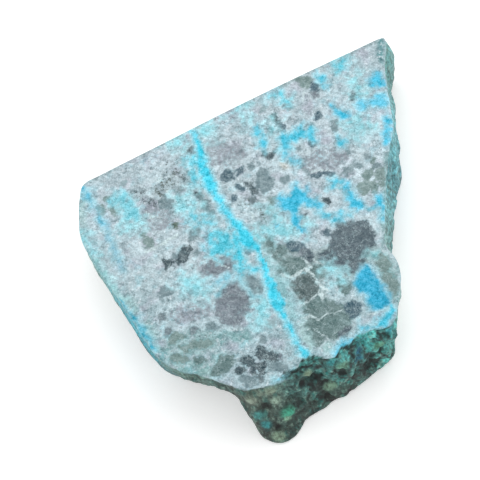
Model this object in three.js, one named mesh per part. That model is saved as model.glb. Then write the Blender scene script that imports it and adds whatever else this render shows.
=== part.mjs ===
// A sawn slab of chrysocolla in quartz matrix, lying on its back face.
// Millimetres, +Z up. Both faces are flat saw cuts. One edge is a saw cut too, and the rest of the rim is
// natural: smooth on the left, broken on the right, with a spur at the front that is widest at its foot.
import * as THREE from "three";
import { mergeVertices } from "three/addons/utils/BufferGeometryUtils.js";

// Driving dimensions
const THICKNESS = 13.5;
const COLUMNS = 200; // steps round the rim
const ROWS = 12; // steps down the rim
const LEAN_REACH = 6; // half-width, in columns, of the stretch that sets the rim's outward direction
const FOOT_ROUND = 0.5; // how far the bottom edge is rounded in on a natural side
const FOOT_HEIGHT = 0.8; // and how high up that starts
const ROUNDED_FROM = 0.3; // breakage at which a side's bottom edge is fully rounded
const LUMPS_FULL = 1 / 6; // share of the way down at which lumps reach their full height

// The rim of the top face, anticlockwise from above. Each row holds x and y of the edge, then how far the
// side stands out from it a third of the way down, two thirds down and at the foot, and how broken it is.
const RIM = [
  // natural left side, smooth and close to upright
  [-26.5, 13.9, 0.0, 0.0, 0.0, 0.1],
  [-27.6, 12.9, 0.0, 0.0, -0.2, 0.2],
  [-28.0, 10.4, 0.1, 0.0, -0.5, 0.3],
  [-28.0, 7.0, 0.1, 0.0, -0.6, 0.3],
  [-27.8, 4.2, 0.1, 0.0, -0.5, 0.3],
  [-27.1, 1.8, 0.1, 0.1, -0.4, 0.3],
  [-25.8, -0.7, 0.2, 0.2, -0.2, 0.25],
  [-24.3, -3.2, 0.2, 0.2, 0.0, 0.2],
  [-22.4, -6.3, 0.3, 0.3, 0.2, 0.2],
  [-20.3, -9.6, 0.4, 0.4, 0.3, 0.2],
  [-18.6, -12.5, 0.4, 0.5, 0.4, 0.2],
  [-17.1, -15.0, 0.4, 0.4, 0.2, 0.25],
  [-15.7, -17.4, 0.2, 0.0, -0.5, 0.3],
  [-14.4, -19.4, 0.0, -0.6, -1.7, 0.4],
  // front left, cut back under the face
  [-12.7, -21.2, -0.3, -1.4, -2.8, 0.6],
  [-10.8, -22.4, -0.3, -1.7, -3.5, 0.7],
  [-8.8, -23.3, -0.3, -1.9, -3.8, 0.8],
  [-6.9, -23.8, -0.3, -1.9, -3.9, 0.8],
  [-4.9, -24.7, -0.5, -1.9, -3.6, 0.8],
  [-3.2, -25.5, -0.8, -1.8, -3.2, 0.8],
  [-1.7, -26.0, 0.0, -0.8, -2.0, 0.8],
  // spur
  [-0.4, -26.6, 0.6, 0.6, -0.6, 0.7],
  [1.0, -27.0, 1.2, 2.3, 2.7, 0.6],
  [2.7, -26.9, 1.3, 3.1, 4.9, 0.6],
  [4.2, -26.6, 1.3, 3.2, 5.3, 0.7],
  [5.8, -26.2, 1.1, 2.7, 4.5, 0.8],
  [7.6, -25.6, 0.9, 1.9, 2.7, 0.9],
  // broken front right
  [9.2, -24.6, 0.8, 1.8, 2.5, 1.0],
  [10.9, -23.5, 0.8, 1.8, 2.7, 1.0],
  [12.7, -22.9, 0.7, 1.6, 2.2, 1.0],
  [14.6, -22.9, 0.6, 1.2, 1.4, 1.0],
  [16.6, -22.4, 0.5, 0.9, 0.6, 1.0],
  [18.3, -21.1, 0.5, 0.9, 0.7, 1.0],
  [19.9, -19.6, 0.5, 0.9, 0.7, 1.0],
  [21.6, -18.8, 0.5, 0.8, 0.5, 1.0],
  [23.4, -18.4, 0.2, 0.3, -0.6, 1.0],
  [24.9, -17.9, -0.2, -0.8, -2.3, 0.9],
  [25.7, -16.3, -0.5, -1.6, -3.3, 0.8],
  [26.1, -13.6, -0.7, -1.9, -3.4, 0.7],
  [26.6, -11.2, -0.9, -2.1, -3.7, 0.6],
  [26.7, -9.0, -0.9, -2.1, -3.7, 0.6],
  [26.4, -6.9, -0.6, -1.6, -2.9, 0.6],
  [25.7, -5.3, -0.1, -0.8, -1.8, 0.6],
  [24.7, -4.0, 0.3, 0.2, -0.2, 0.6],
  // natural right side, scalloped
  [24.2, -2.4, 0.2, 0.2, 0.0, 0.7],
  [24.2, 0.2, 0.3, 0.0, -0.8, 0.7],
  [24.4, 2.8, 0.4, 0.1, -1.3, 0.7],
  [24.5, 5.6, 0.5, 0.3, -1.1, 0.8],
  [24.7, 8.3, 0.6, 0.4, -0.7, 0.8],
  [24.9, 10.8, 0.5, 0.4, -0.6, 0.8],
  [25.2, 13.2, 0.5, 0.6, 0.0, 0.8],
  [25.7, 15.5, 0.4, 0.4, 0.0, 0.7],
  [26.1, 17.7, 0.2, 0.0, -0.4, 0.6],
  [26.2, 19.9, 0.1, -0.2, -0.9, 0.6],
  [25.9, 22.3, 0.1, -0.4, -1.7, 0.6],
  [25.6, 24.6, 0.5, 0.0, -1.6, 0.6],
  [25.4, 26.8, 0.3, 0.1, -1.0, 0.6],
  [25.2, 29.0, 0.0, -0.2, -1.0, 0.6],
  [25.1, 31.4, 0.5, 0.0, -1.4, 0.6],
  [25.2, 33.6, 1.0, 0.4, -1.3, 0.5],
  [25.3, 35.4, 0.9, 0.4, -1.0, 0.2],
  [25.2, 36.3, 0.3, 0.2, -0.6, 0.0],
  // saw-cut edge
  [24.6, 36.35, 0.0, 0.0, 0.0, 0.0],
  [19.0, 34.1, 0.0, 0.0, 0.0, 0.0],
  [12.0, 31.2, 0.0, 0.0, 0.0, 0.0],
  [4.0, 27.75, 0.0, 0.0, 0.0, 0.0],
  [-4.0, 24.2, 0.0, 0.0, 0.0, 0.0],
  [-12.0, 20.5, 0.0, 0.0, 0.0, 0.0],
  [-20.0, 16.85, 0.0, 0.0, 0.0, 0.0],
  [-25.3, 14.4, 0.0, 0.0, 0.0, 0.0],
];

// Slow waves that make the broken sides lumpy: wave numbers per millimetre along x, y and z, then height.
const LUMPS = [
  [0.92, 0.55, 0.8, 0.22],
  [-0.61, 1.13, -0.7, 0.2],
  [1.55, -1.2, 1.1, 0.12],
];

// Knobs and, with a negative height, hollows on the broken sides: x, y, z, radius and height.
const KNOBS = [
  [1.2, -27.9, 10.6, 1.3, 0.5],
  [4.7, -27.0, 11.6, 1.2, 0.45],
  [6.5, -28.6, 5.6, 1.5, 0.5],
  [4.1, -31.2, 2.0, 1.2, 0.4],
  [10.7, -24.2, 11.4, 1.1, 0.35],
  [16.4, -23.0, 10.6, 1.8, 0.4],
  [13.5, -24.2, 5.2, 1.8, 0.4],
  [22.4, -19.2, 9.0, 1.8, 0.4],
  [1.6, -28.8, 6.6, 1.4, 0.35],
  [3.2, -28.2, 8.6, 1.1, -0.5],
  [10.6, -24.5, 9.6, 1.4, -0.6],
  [4.4, -30.2, 3.8, 0.9, -0.35],
  [19.7, -20.5, 11.2, 1.2, -0.6],
];

// Smooth closed curves through the table: the edge in plan, the stand-outs and the breakage.
const edge = new THREE.CatmullRomCurve3(RIM.map(([x, y]) => new THREE.Vector3(x, y, 0)), true);
const stand = new THREE.CatmullRomCurve3(RIM.map(([, , a, b, c]) => new THREE.Vector3(a, b, c)), true);
const broken = new THREE.CatmullRomCurve3(RIM.map((row) => new THREE.Vector3(row[5], 0, 0)), true);
edge.arcLengthDivisions = 2000;

// One entry for each column: the edge point, the three stand-outs and the breakage there.
function columnsOf() {
  const columns = [];
  for (let i = 0; i < COLUMNS; i++) {
    const t = edge.getUtoTmapping(i / COLUMNS);
    columns.push({
      point: edge.getPoint(t),
      stand: stand.getPoint(t),
      broken: Math.max(0, broken.getPoint(t).x),
    });
  }
  return columns;
}

// The way the side leans at column i: square to the rim, measured over a stretch so that it turns slowly.
function outward(columns, i) {
  const before = columns[(i - LEAN_REACH + COLUMNS) % COLUMNS].point;
  const after = columns[(i + LEAN_REACH) % COLUMNS].point;
  return new THREE.Vector2(after.y - before.y, before.x - after.x).normalize();
}

// How far the side stands out at h, from 0 at the edge to 1 at the foot: the cubic through the edge and
// the three stand-outs, as Lagrange's sum.
function standOut({ x: third, y: twoThirds, z: foot }, h) {
  const a = (27 / 2) * third * h * (h - 2 / 3) * (h - 1);
  const b = (-27 / 2) * twoThirds * h * (h - 1 / 3) * (h - 1);
  const c = (9 / 2) * foot * h * (h - 1 / 3) * (h - 2 / 3);
  return a + b + c;
}

// How far lumps and knobs push the side out at a point.
function relief(x, y, z) {
  let push = 0;
  for (const [kx, ky, kz, height] of LUMPS) push += height * Math.sin(kx * x + ky * y + kz * z);
  for (const [cx, cy, cz, radius, height] of KNOBS) {
    const away = (x - cx) ** 2 + (y - cy) ** 2 + (z - cz) ** 2;
    push += height * Math.exp(-away / radius ** 2);
  }
  return push;
}

// One point of the side: the edge point moved out by the stand-out, less the rounding at the foot, plus
// the relief, which fades in below the top edge.
function sidePoint({ point, stand: stands, broken: breakage }, lean, h) {
  const z = THICKNESS * (1 - h);
  const underneath = Math.max(0, 1 - z / FOOT_HEIGHT) ** 2;
  const rounding = FOOT_ROUND * underneath * Math.min(1, breakage / ROUNDED_FROM);
  const out = standOut(stands, h) - rounding;
  const near = relief(point.x + lean.x * out, point.y + lean.y * out, z);
  const push = out + near * breakage * Math.min(1, h / LUMPS_FULL);
  return new THREE.Vector3(point.x + lean.x * push, point.y + lean.y * push, z);
}

// The rim as rings of points, from the top edge down to the foot.
function ringsOf(columns) {
  const leans = columns.map((_, i) => outward(columns, i));
  const rings = [];
  for (let row = 0; row <= ROWS; row++) {
    rings.push(columns.map((column, i) => sidePoint(column, leans[i], row / ROWS)));
  }
  return rings;
}

// A flat face inside a ring. A face that looks down has its triangles turned round.
function faceOf(ring, offset, looksDown) {
  const flat = ring.map((p) => new THREE.Vector2(p.x, p.y));
  const triangles = THREE.ShapeUtils.triangulateShape(flat, []);
  return triangles.flatMap(([a, b, c]) => (looksDown ? [a, c, b] : [a, b, c]).map((i) => i + offset));
}

function slabGeometry() {
  const rings = ringsOf(columnsOf());
  const positions = rings.flat().flatMap((p) => [p.x, p.y, p.z]);
  const index = [];
  for (let row = 0; row < ROWS; row++) {
    for (let i = 0; i < COLUMNS; i++) {
      const next = (i + 1) % COLUMNS;
      const [a, b] = [row * COLUMNS + i, row * COLUMNS + next];
      const [c, d] = [a + COLUMNS, b + COLUMNS];
      index.push(a, c, b, b, c, d);
    }
  }
  index.push(...faceOf(rings[0], 0, false));
  index.push(...faceOf(rings[ROWS], ROWS * COLUMNS, true));
  const geometry = new THREE.BufferGeometry();
  geometry.setAttribute("position", new THREE.Float32BufferAttribute(positions, 3));
  geometry.setIndex(index);
  return mergeVertices(geometry);
}

// The origin is under the middle of the slab's box, on the surface it lies on.
function centred(geometry) {
  geometry.computeBoundingBox();
  const middle = geometry.boundingBox.getCenter(new THREE.Vector3());
  geometry.translate(-middle.x, -middle.y, 0);
  geometry.computeVertexNormals();
  return geometry;
}

const stone = new THREE.MeshStandardMaterial({ color: 0x9fb7bd, roughness: 0.75, metalness: 0 });
const slab = new THREE.Mesh(centred(slabGeometry()), stone);
slab.name = "slab";

const specimen = new THREE.Group();
specimen.add(slab);

export default specimen;
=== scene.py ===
import itertools
import math

import bpy
import numpy as np
from mathutils import Matrix, Vector


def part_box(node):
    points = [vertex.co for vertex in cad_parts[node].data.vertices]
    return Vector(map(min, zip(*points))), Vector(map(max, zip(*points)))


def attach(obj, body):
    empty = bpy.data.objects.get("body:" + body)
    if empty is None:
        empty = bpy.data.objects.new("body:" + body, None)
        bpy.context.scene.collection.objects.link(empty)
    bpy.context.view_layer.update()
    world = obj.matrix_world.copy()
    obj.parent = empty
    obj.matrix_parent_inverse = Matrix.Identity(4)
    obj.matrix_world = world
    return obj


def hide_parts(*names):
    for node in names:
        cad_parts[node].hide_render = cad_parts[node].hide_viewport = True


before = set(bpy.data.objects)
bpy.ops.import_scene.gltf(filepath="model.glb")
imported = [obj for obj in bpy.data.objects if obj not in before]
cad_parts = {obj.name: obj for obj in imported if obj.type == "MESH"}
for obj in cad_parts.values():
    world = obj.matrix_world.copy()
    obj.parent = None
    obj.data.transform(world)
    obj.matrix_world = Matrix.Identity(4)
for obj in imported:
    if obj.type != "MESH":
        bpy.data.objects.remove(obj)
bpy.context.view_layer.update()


# THE SLAB. A hand-sized slice of rock: grey quartz and feldspar with dark angular grains, veined and
# blotched with blue chrysocolla. A saw cut both faces and one edge; the rest of the rim is natural or
# broken and wears a green and teal crust. It is one piece, in millimetres here until its mesh is made.

# The rim of the top face, anticlockwise from above. Each row holds x and y of the edge, how far the side
# stands out from it a third of the way down, two thirds down and at the foot, and how broken it is.
RIM = np.array([
    # natural left side
    (-26.5, 13.9, 0.0, 0.0, 0.0, 0.1),
    (-27.6, 12.9, 0.0, 0.0, -0.2, 0.2),
    (-28.0, 10.4, 0.1, 0.0, -0.5, 0.3),
    (-28.0, 7.0, 0.1, 0.0, -0.6, 0.3),
    (-27.8, 4.2, 0.1, 0.0, -0.5, 0.3),
    (-27.1, 1.8, 0.1, 0.1, -0.4, 0.3),
    (-25.8, -0.7, 0.2, 0.2, -0.2, 0.25),
    (-24.3, -3.2, 0.2, 0.2, 0.0, 0.2),
    (-22.4, -6.3, 0.3, 0.3, 0.2, 0.2),
    (-20.3, -9.6, 0.4, 0.4, 0.3, 0.2),
    (-18.6, -12.5, 0.4, 0.5, 0.4, 0.2),
    (-17.1, -15.0, 0.4, 0.4, 0.2, 0.25),
    (-15.7, -17.4, 0.2, 0.0, -0.5, 0.3),
    (-14.4, -19.4, 0.0, -0.6, -1.7, 0.4),
    # front left, cut back under the face
    (-12.7, -21.2, -0.3, -1.4, -2.8, 0.6),
    (-10.8, -22.4, -0.3, -1.7, -3.5, 0.7),
    (-8.8, -23.3, -0.3, -1.9, -3.8, 0.8),
    (-6.9, -23.8, -0.3, -1.9, -3.9, 0.8),
    (-4.9, -24.7, -0.5, -1.9, -3.6, 0.8),
    (-3.2, -25.5, -0.8, -1.8, -3.2, 0.8),
    (-1.7, -26.0, 0.0, -0.8, -2.0, 0.8),
    # spur
    (-0.4, -26.6, 0.6, 0.6, -0.6, 0.7),
    (1.0, -27.0, 1.2, 2.3, 2.7, 0.6),
    (2.7, -26.9, 1.3, 3.1, 4.9, 0.6),
    (4.2, -26.6, 1.3, 3.2, 5.3, 0.7),
    (5.8, -26.2, 1.1, 2.7, 4.5, 0.8),
    (7.6, -25.6, 0.9, 1.9, 2.7, 0.9),
    # broken front right
    (9.2, -24.6, 0.8, 1.8, 2.5, 1.0),
    (10.9, -23.5, 0.8, 1.8, 2.7, 1.0),
    (12.7, -22.9, 0.7, 1.6, 2.2, 1.0),
    (14.6, -22.9, 0.6, 1.2, 1.4, 1.0),
    (16.6, -22.4, 0.5, 0.9, 0.6, 1.0),
    (18.3, -21.1, 0.5, 0.9, 0.7, 1.0),
    (19.9, -19.6, 0.5, 0.9, 0.7, 1.0),
    (21.6, -18.8, 0.5, 0.8, 0.5, 1.0),
    (23.4, -18.4, 0.2, 0.3, -0.6, 1.0),
    (24.9, -17.9, -0.2, -0.8, -2.3, 0.9),
    (25.7, -16.3, -0.5, -1.6, -3.3, 0.8),
    (26.1, -13.6, -0.7, -1.9, -3.4, 0.7),
    (26.6, -11.2, -0.9, -2.1, -3.7, 0.6),
    (26.7, -9.0, -0.9, -2.1, -3.7, 0.6),
    (26.4, -6.9, -0.6, -1.6, -2.9, 0.6),
    (25.7, -5.3, -0.1, -0.8, -1.8, 0.6),
    (24.7, -4.0, 0.3, 0.2, -0.2, 0.6),
    # natural right side, scalloped
    (24.2, -2.4, 0.2, 0.2, 0.0, 0.7),
    (24.2, 0.2, 0.3, 0.0, -0.8, 0.7),
    (24.4, 2.8, 0.4, 0.1, -1.3, 0.7),
    (24.5, 5.6, 0.5, 0.3, -1.1, 0.8),
    (24.7, 8.3, 0.6, 0.4, -0.7, 0.8),
    (24.9, 10.8, 0.5, 0.4, -0.6, 0.8),
    (25.2, 13.2, 0.5, 0.6, 0.0, 0.8),
    (25.7, 15.5, 0.4, 0.4, 0.0, 0.7),
    (26.1, 17.7, 0.2, 0.0, -0.4, 0.6),
    (26.2, 19.9, 0.1, -0.2, -0.9, 0.6),
    (25.9, 22.3, 0.1, -0.4, -1.7, 0.6),
    (25.6, 24.6, 0.5, 0.0, -1.6, 0.6),
    (25.4, 26.8, 0.3, 0.1, -1.0, 0.6),
    (25.2, 29.0, 0.0, -0.2, -1.0, 0.6),
    (25.1, 31.4, 0.5, 0.0, -1.4, 0.6),
    (25.2, 33.6, 1.0, 0.4, -1.3, 0.5),
    (25.3, 35.4, 0.9, 0.4, -1.0, 0.2),
    (25.2, 36.3, 0.3, 0.2, -0.6, 0.0),
    # saw-cut edge
    (24.6, 36.35, 0.0, 0.0, 0.0, 0.0),
    (19.0, 34.1, 0.0, 0.0, 0.0, 0.0),
    (12.0, 31.2, 0.0, 0.0, 0.0, 0.0),
    (4.0, 27.75, 0.0, 0.0, 0.0, 0.0),
    (-4.0, 24.2, 0.0, 0.0, 0.0, 0.0),
    (-12.0, 20.5, 0.0, 0.0, 0.0, 0.0),
    (-20.0, 16.85, 0.0, 0.0, 0.0, 0.0),
    (-25.3, 14.4, 0.0, 0.0, 0.0, 0.0),
])
# The rows at the slab's four corners, in order: left end of the saw cut, front left, front right and right
# end of the saw cut.
CORNERS = (0, 13, 36, 61)
ACROSS = 184  # cells of each face from left to right
ALONG = 170  # and from front to back
DOWN = 50  # rows of cells down the side
LEAN_REACH = 12  # half-width, in columns, of the stretch that sets the rim's outward direction
BEVEL = 0.22  # wear on the top edge
BEVEL_ROWS = 3
FOOT_ROUND = 0.5  # how far a natural side's bottom edge is rounded in
FOOT_HEIGHT = 0.8
ROUNDED_FROM = 0.3  # breakage at which that edge is fully rounded
DRAWN_DOWN = np.array([1, 1, 0.6])  # nodules on the sides are longer down the side than across
NODULE = 1.9  # size of the broken crust's nodules
SMALL_NODULE = 0.8  # and of the smaller ones on them
SAWN_TO_NATURAL = (0.05, 0.25)  # breakage between which a sawn side turns into a natural one
NATURAL_ROUGH = 0.35  # share of the full roughness that an unbroken natural side has lower down
FOOT_SMOOTH = 0.6  # share of the roughness lost towards the foot, which keeps the foot's edge whole
LUMPS_FULL = 1 / 6  # share of the way down at which lumps reach their full height

# Slow waves in the broken sides: wave numbers per millimetre along x, y and z, then height.
LUMPS = [(0.92, 0.55, 0.8, 0.22), (-0.61, 1.13, -0.7, 0.2), (1.55, -1.2, 1.1, 0.12)]

# Knobs and, with a negative height, hollows on the broken sides: x, y, z, radius, height and colour. The
# hollows' near-black colours are painted shade, and their dark blues are chrysocolla with painted shade on
# it.
KNOBS = [
    (1.2, -27.9, 10.6, 1.2, 0.55, "#7E8D7E"),
    (3.0, -27.6, 11.9, 0.8, 0.4, "#7B8F80"),
    (4.7, -27.0, 11.9, 1.0, 0.5, "#788B7A"),
    (5.1, -27.9, 9.4, 0.9, 0.4, "#8CA594"),
    (6.6, -28.5, 5.8, 1.3, 0.5, "#3F9C80"),
    (6.2, -28.9, 4.4, 0.7, 0.35, "#80A88E"),
    (4.1, -31.2, 2.0, 1.3, 0.4, "#7C957F"),
    (10.7, -24.2, 11.6, 0.9, 0.5, "#7C927A"),
    (16.4, -23.0, 10.6, 1.3, 0.35, "#5F8F7A"),
    (13.5, -24.2, 5.2, 1.3, 0.35, "#6E8F7A"),
    (22.4, -19.2, 9.0, 1.3, 0.35, "#4F8A72"),
    (1.6, -28.8, 6.6, 1.1, 0.3, "#3F8480"),
    (2.6, -29.8, 4.6, 0.9, 0.25, "#2F8A8C"),
    (3.2, -28.2, 8.5, 0.9, -0.6, "#0E1512"),
    (2.6, -27.6, 12.2, 0.5, -0.4, "#2A3028"),
    (9.4, -24.9, 9.2, 1.1, -0.6, "#090E0E"),
    (11.6, -24.1, 9.4, 1.2, -0.7, "#080D0E"),
    (12.6, -23.6, 11.8, 0.9, -0.4, "#0E1C1C"),
    (9.2, -25.2, 11.6, 0.7, -0.3, "#121C18"),
    (4.4, -30.2, 3.8, 0.8, -0.45, "#0C110F"),
    (7.6, -27.6, 7.6, 0.8, -0.3, "#121A16"),
    (11.8, -25.3, 3.4, 0.8, -0.4, "#0B100F"),
    (19.9, -20.0, 12.3, 1.1, -0.5, "#0A5A78"),
    (19.4, -20.8, 10.6, 1.1, -0.6, "#084E6C"),
    (18.9, -21.4, 9.0, 1.0, -0.5, "#0C5A70"),
    (14.9, -23.4, 12.6, 0.9, 0.2, "#2F8F92"),
    (24.4, -17.8, 12.4, 0.9, 0.2, "#3FA5B0"),
]


def linear(hex_colour):
    """An sRGB hex colour as linear red, green and blue."""
    parts = np.array([int(hex_colour[i:i + 2], 16) / 255 for i in (1, 3, 5)])
    return np.where(parts <= 0.04045, parts / 12.92, ((parts + 0.055) / 1.055) ** 2.4)


def ease(values, low, high):
    """0 up to low, 1 from high on, and the curve 3t^2 - 2t^3 between."""
    t = np.clip((values - low) / (high - low), 0, 1)
    return t * t * (3 - 2 * t)


def scatter(cells, seed):
    """A fixed random number from 0 to 1 for each cube of space, mixed from its three whole coordinates."""
    mixed = (cells @ np.array([73856093, 19349663, 83492791]) + seed * 2654435761) & 0xFFFFFFFF
    for shift, factor in ((15, 2246822519), (13, 3266489917)):
        mixed = ((mixed ^ (mixed >> shift)) * factor) & 0xFFFFFFFF
    return (mixed ^ (mixed >> 16)) / 0xFFFFFFFF


def cloud(points, size, seed):
    """Smooth noise from -1 to 1: a random number at each corner of cubes of one size, blended across the
    cube with the weight 3t^2 - 2t^3 along each axis."""
    cells = np.floor(points / size).astype(np.int64)
    t = ease(points / size - cells, 0, 1)
    total = np.zeros(len(points))
    for corner in itertools.product((0, 1), repeat=3):
        weight = np.prod(np.where(corner, t, 1 - t), axis=1)
        total += weight * scatter(cells + corner, seed)
    return 2 * total - 1


def nodules(points, size, seed):
    """Centres scattered one to a cube of one size. For each point: the distance to the nearest centre and
    how much further the next one is, both in cube sizes, and the nearest centre's random number."""
    home = np.floor(points / size).astype(np.int64)
    nearest = np.full(len(points), 9.0)
    second = nearest.copy()
    tone = np.zeros(len(points))
    for step in itertools.product((-1, 0, 1), repeat=3):
        cell = home + step
        centre = cell + np.stack([scatter(cell, seed + axis) for axis in range(3)], axis=1)
        gap = np.linalg.norm(points / size - centre, axis=1)
        closer = gap < nearest
        second = np.where(closer, nearest, np.minimum(second, gap))
        tone = np.where(closer, scatter(cell, seed + 3), tone)
        nearest = np.where(closer, gap, nearest)
    return nearest, second - nearest, tone


def closed_curve(rows, steps):
    """The centripetal Catmull-Rom curve through all rows and back to the first: on each stretch, a cubic
    whose end slopes come from the neighbours, weighted by the root of their distance in plan."""
    before, start, end, after = (np.roll(rows, shift, axis=0) for shift in (1, 0, -1, -2))

    def knot(a, b):
        return np.sqrt(np.linalg.norm((b - a)[:, :2], axis=1))[:, None]

    k0, k1, k2 = knot(before, start), knot(start, end), knot(end, after)
    leave = ((start - before) / k0 - (end - before) / (k0 + k1) + (end - start) / k1) * k1
    arrive = ((end - start) / k1 - (after - start) / (k1 + k2) + (after - end) / k2) * k1
    t = np.linspace(0, 1, steps, endpoint=False)[:, None]
    start, end, leave, arrive = (a[:, None] for a in (start, end, leave, arrive))
    cubic = (2 * start - 2 * end + leave + arrive) * t**3
    square = (3 * end - 3 * start - 2 * leave - arrive) * t**2
    return (cubic + square + leave * t + start).reshape(-1, rows.shape[1])


def rim_columns():
    """The rim as evenly spaced columns along each of its four sides, starting at the first corner."""
    steps = 40
    curve = closed_curve(RIM, steps)
    curve = np.vstack([curve, curve[:1]])
    length = np.append(0, np.cumsum(np.linalg.norm(np.diff(curve[:, :2], axis=0), axis=1)))
    ends = [corner * steps for corner in CORNERS] + [len(curve) - 1]
    places = []
    for first, last, cells in zip(ends, ends[1:], (ALONG, ACROSS, ALONG, ACROSS)):
        places.append(np.linspace(length[first], length[last], cells, endpoint=False))
    places = np.concatenate(places)
    rows = np.stack([np.interp(places, length, column) for column in curve.T], axis=1)
    rows[:, 5] = np.maximum(rows[:, 5], 0)
    return rows


def outward(columns):
    """Square to the rim in plan, measured over a stretch either side so that it turns slowly."""
    along = np.roll(columns[:, :2], -LEAN_REACH, axis=0) - np.roll(columns[:, :2], LEAN_REACH, axis=0)
    square = np.stack([along[:, 1], -along[:, 0]], axis=1)
    return square / np.linalg.norm(square, axis=1)[:, None]


def stand_out(stands, h):
    """The cubic through 0 at the edge and the three stand-outs, as Lagrange's sum, at h from 0 to 1."""
    third, two_thirds, foot = stands.T
    near = 27 / 2 * third * h * (h - 2 / 3) * (h - 1)
    middle = -27 / 2 * two_thirds * h * (h - 1 / 3) * (h - 1)
    return near + middle + 9 / 2 * foot * h * (h - 1 / 3) * (h - 2 / 3)


def relief(points):
    """How far lumps and knobs push the side out: a sum of sines, and a bell curve for each knob."""
    push = np.zeros(len(points))
    for kx, ky, kz, height in LUMPS:
        push += height * np.sin(points @ (kx, ky, kz))
    for x, y, z, radius, height, _ in KNOBS:
        away = ((points - (x, y, z)) ** 2).sum(axis=1)
        push += height * np.exp(-away / radius**2)
    return push


def roughness_of_break(points):
    """The broken crust's nodules, in mm: domes of two sizes with clefts between them, pits a few
    millimetres wide and a fine grit. Also returns how deep in a cleft or a pit each point is, from 0 to 1,
    and its nodule's number."""
    drawn = points * DRAWN_DOWN
    bent = drawn + 0.4 * np.stack([cloud(points, 1.1, seed) for seed in (1, 2, 3)], axis=1)
    near, gap, tone = nodules(bent, NODULE, 11)
    small_near, small_gap, small_tone = nodules(bent, SMALL_NODULE, 21)
    domes = 0.55 * (0.5 - near) + 0.22 * (0.5 - small_near)
    cleft = 1 - 0.6 * ease(gap, 0, 0.2) - 0.4 * ease(small_gap, 0, 0.3)
    pit = ease(cloud(drawn, 1.8, 51) + 0.5 * cloud(drawn, 0.8, 52), 0.35, 0.75)
    push = domes - 0.16 * cleft - 0.4 * pit + 0.05 * cloud(points, 0.33, 31)
    return push, np.maximum(cleft, pit), 0.6 * tone + 0.4 * small_tone


def side_row(columns, leans, z, thickness):
    """One row of the side at height z: the edge moved out by the stand-out, less the wear on the top edge
    and the rounding at the foot, plus lumps, knobs and nodules that fade in below the top edge."""
    h = 1 - z / thickness
    broken = columns[:, 5]
    worn = BEVEL * (1 - math.sqrt(1 - max(0, 1 - (thickness - z) / BEVEL) ** 2))
    under = max(0, 1 - z / FOOT_HEIGHT) ** 2
    rounding = FOOT_ROUND * under * np.minimum(1, broken / ROUNDED_FROM)
    out = stand_out(columns[:, 2:5], h) - rounding - worn
    place = columns[:, :2] + leans * out[:, None]
    point = np.column_stack([place, np.full(len(place), z)])
    nodule = roughness_of_break(point)[0]
    fade = min(1, h / LUMPS_FULL)
    low_down = NATURAL_ROUGH * ease(broken, *SAWN_TO_NATURAL) * ease(np.full(len(place), h), 0.08, 0.4)
    push = relief(point) * np.maximum(broken * fade, low_down)
    push += nodule * np.maximum(broken**1.5 * min(1, 3 * fade), low_down)
    push *= 1 - FOOT_SMOOTH * ease(np.full(len(place), h), 0.55, 0.95)
    place = place + leans * push[:, None]
    return np.column_stack([place, point[:, 2]])


def coons(bottom, right, top, left):
    """A grid inside four joined edges: the blend of bottom to top plus the blend of left to right, less the
    blend of the four corners."""
    s = np.linspace(0, 1, len(bottom))[:, None, None]
    t = np.linspace(0, 1, len(left))[None, :, None]
    ends = (1 - t) * bottom[:, None] + t * top[:, None]
    sides = (1 - s) * left[None] + s * right[None]
    corners = (1 - s) * ((1 - t) * left[0] + t * left[-1]) + s * ((1 - t) * right[0] + t * right[-1])
    return ends + sides - corners


def filled(ring):
    """The grid that fills a ring of points, which runs round the grid's four edges in turn."""
    turns = np.cumsum((0, ALONG, ACROSS, ALONG, ACROSS))
    closed = np.vstack([ring, ring[:1]])
    left, bottom, right, top = (closed[a:b + 1] for a, b in zip(turns, turns[1:]))
    return coons(bottom, right, top[::-1], left[::-1])


def carried(inner, ring, moved_ring):
    """The inner points of a grid, moved along with its ring: each by the mean of the ring's moves, each
    of which weighs one over its cubed distance."""
    gap = np.hypot(inner[:, :1] - ring[:, 0], inner[:, 1:] - ring[:, 1])
    weight = gap**-3
    return inner + weight @ (moved_ring - ring) / weight.sum(axis=1)[:, None]


def grid_faces(cell):
    """The four corners of each cell of a grid of point numbers, anticlockwise from above."""
    return np.stack([cell[:-1, :-1], cell[1:, :-1], cell[1:, 1:], cell[:-1, 1:]], axis=-1).reshape(-1, 4)


def slab_mesh(thickness):
    """Points and faces of the closed slab: a grid over the top face, rows down the side from the grid's
    edge, and the same grid carried down to the back face, inside the last row."""
    columns = rim_columns()
    leans = outward(columns)
    edge = columns[:, :2] - BEVEL * leans
    grid = filled(edge)
    points = [np.column_stack([grid.reshape(-1, 2), np.full(grid[..., 0].size, thickness)])]

    bevel = BEVEL * (1 - np.cos(np.linspace(0, np.pi / 2, BEVEL_ROWS + 1)[1:]))
    heights = np.append(thickness - bevel, np.linspace(thickness - BEVEL, 0, DOWN - BEVEL_ROWS + 1)[1:])
    points += [side_row(columns, leans, z, thickness) for z in heights]
    under = carried(grid[1:-1, 1:-1].reshape(-1, 2), edge, points[-1][:, :2])
    points.append(np.column_stack([under, np.zeros(len(under))]))

    cell = np.arange((ACROSS + 1) * (ALONG + 1)).reshape(ACROSS + 1, ALONG + 1)
    faces = [grid_faces(cell)]
    rim = np.concatenate([cell[0, :0:-1], cell[:-1, 0], cell[-1, :-1], cell[:0:-1, -1]])
    ring = rim
    lower = cell.size + np.arange(len(ring))
    for _ in range(DOWN):
        faces.append(np.stack([ring, lower, np.roll(lower, -1), np.roll(ring, -1)], axis=-1))
        ring, lower = lower, lower + len(ring)
    back = np.empty_like(cell)
    back.flat[rim] = ring
    back[1:-1, 1:-1] = lower[0] + np.arange((ACROSS - 1) * (ALONG - 1)).reshape(ACROSS - 1, ALONG - 1)
    faces.append(grid_faces(back)[:, ::-1])
    return np.concatenate(points), np.concatenate(faces), columns


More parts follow.
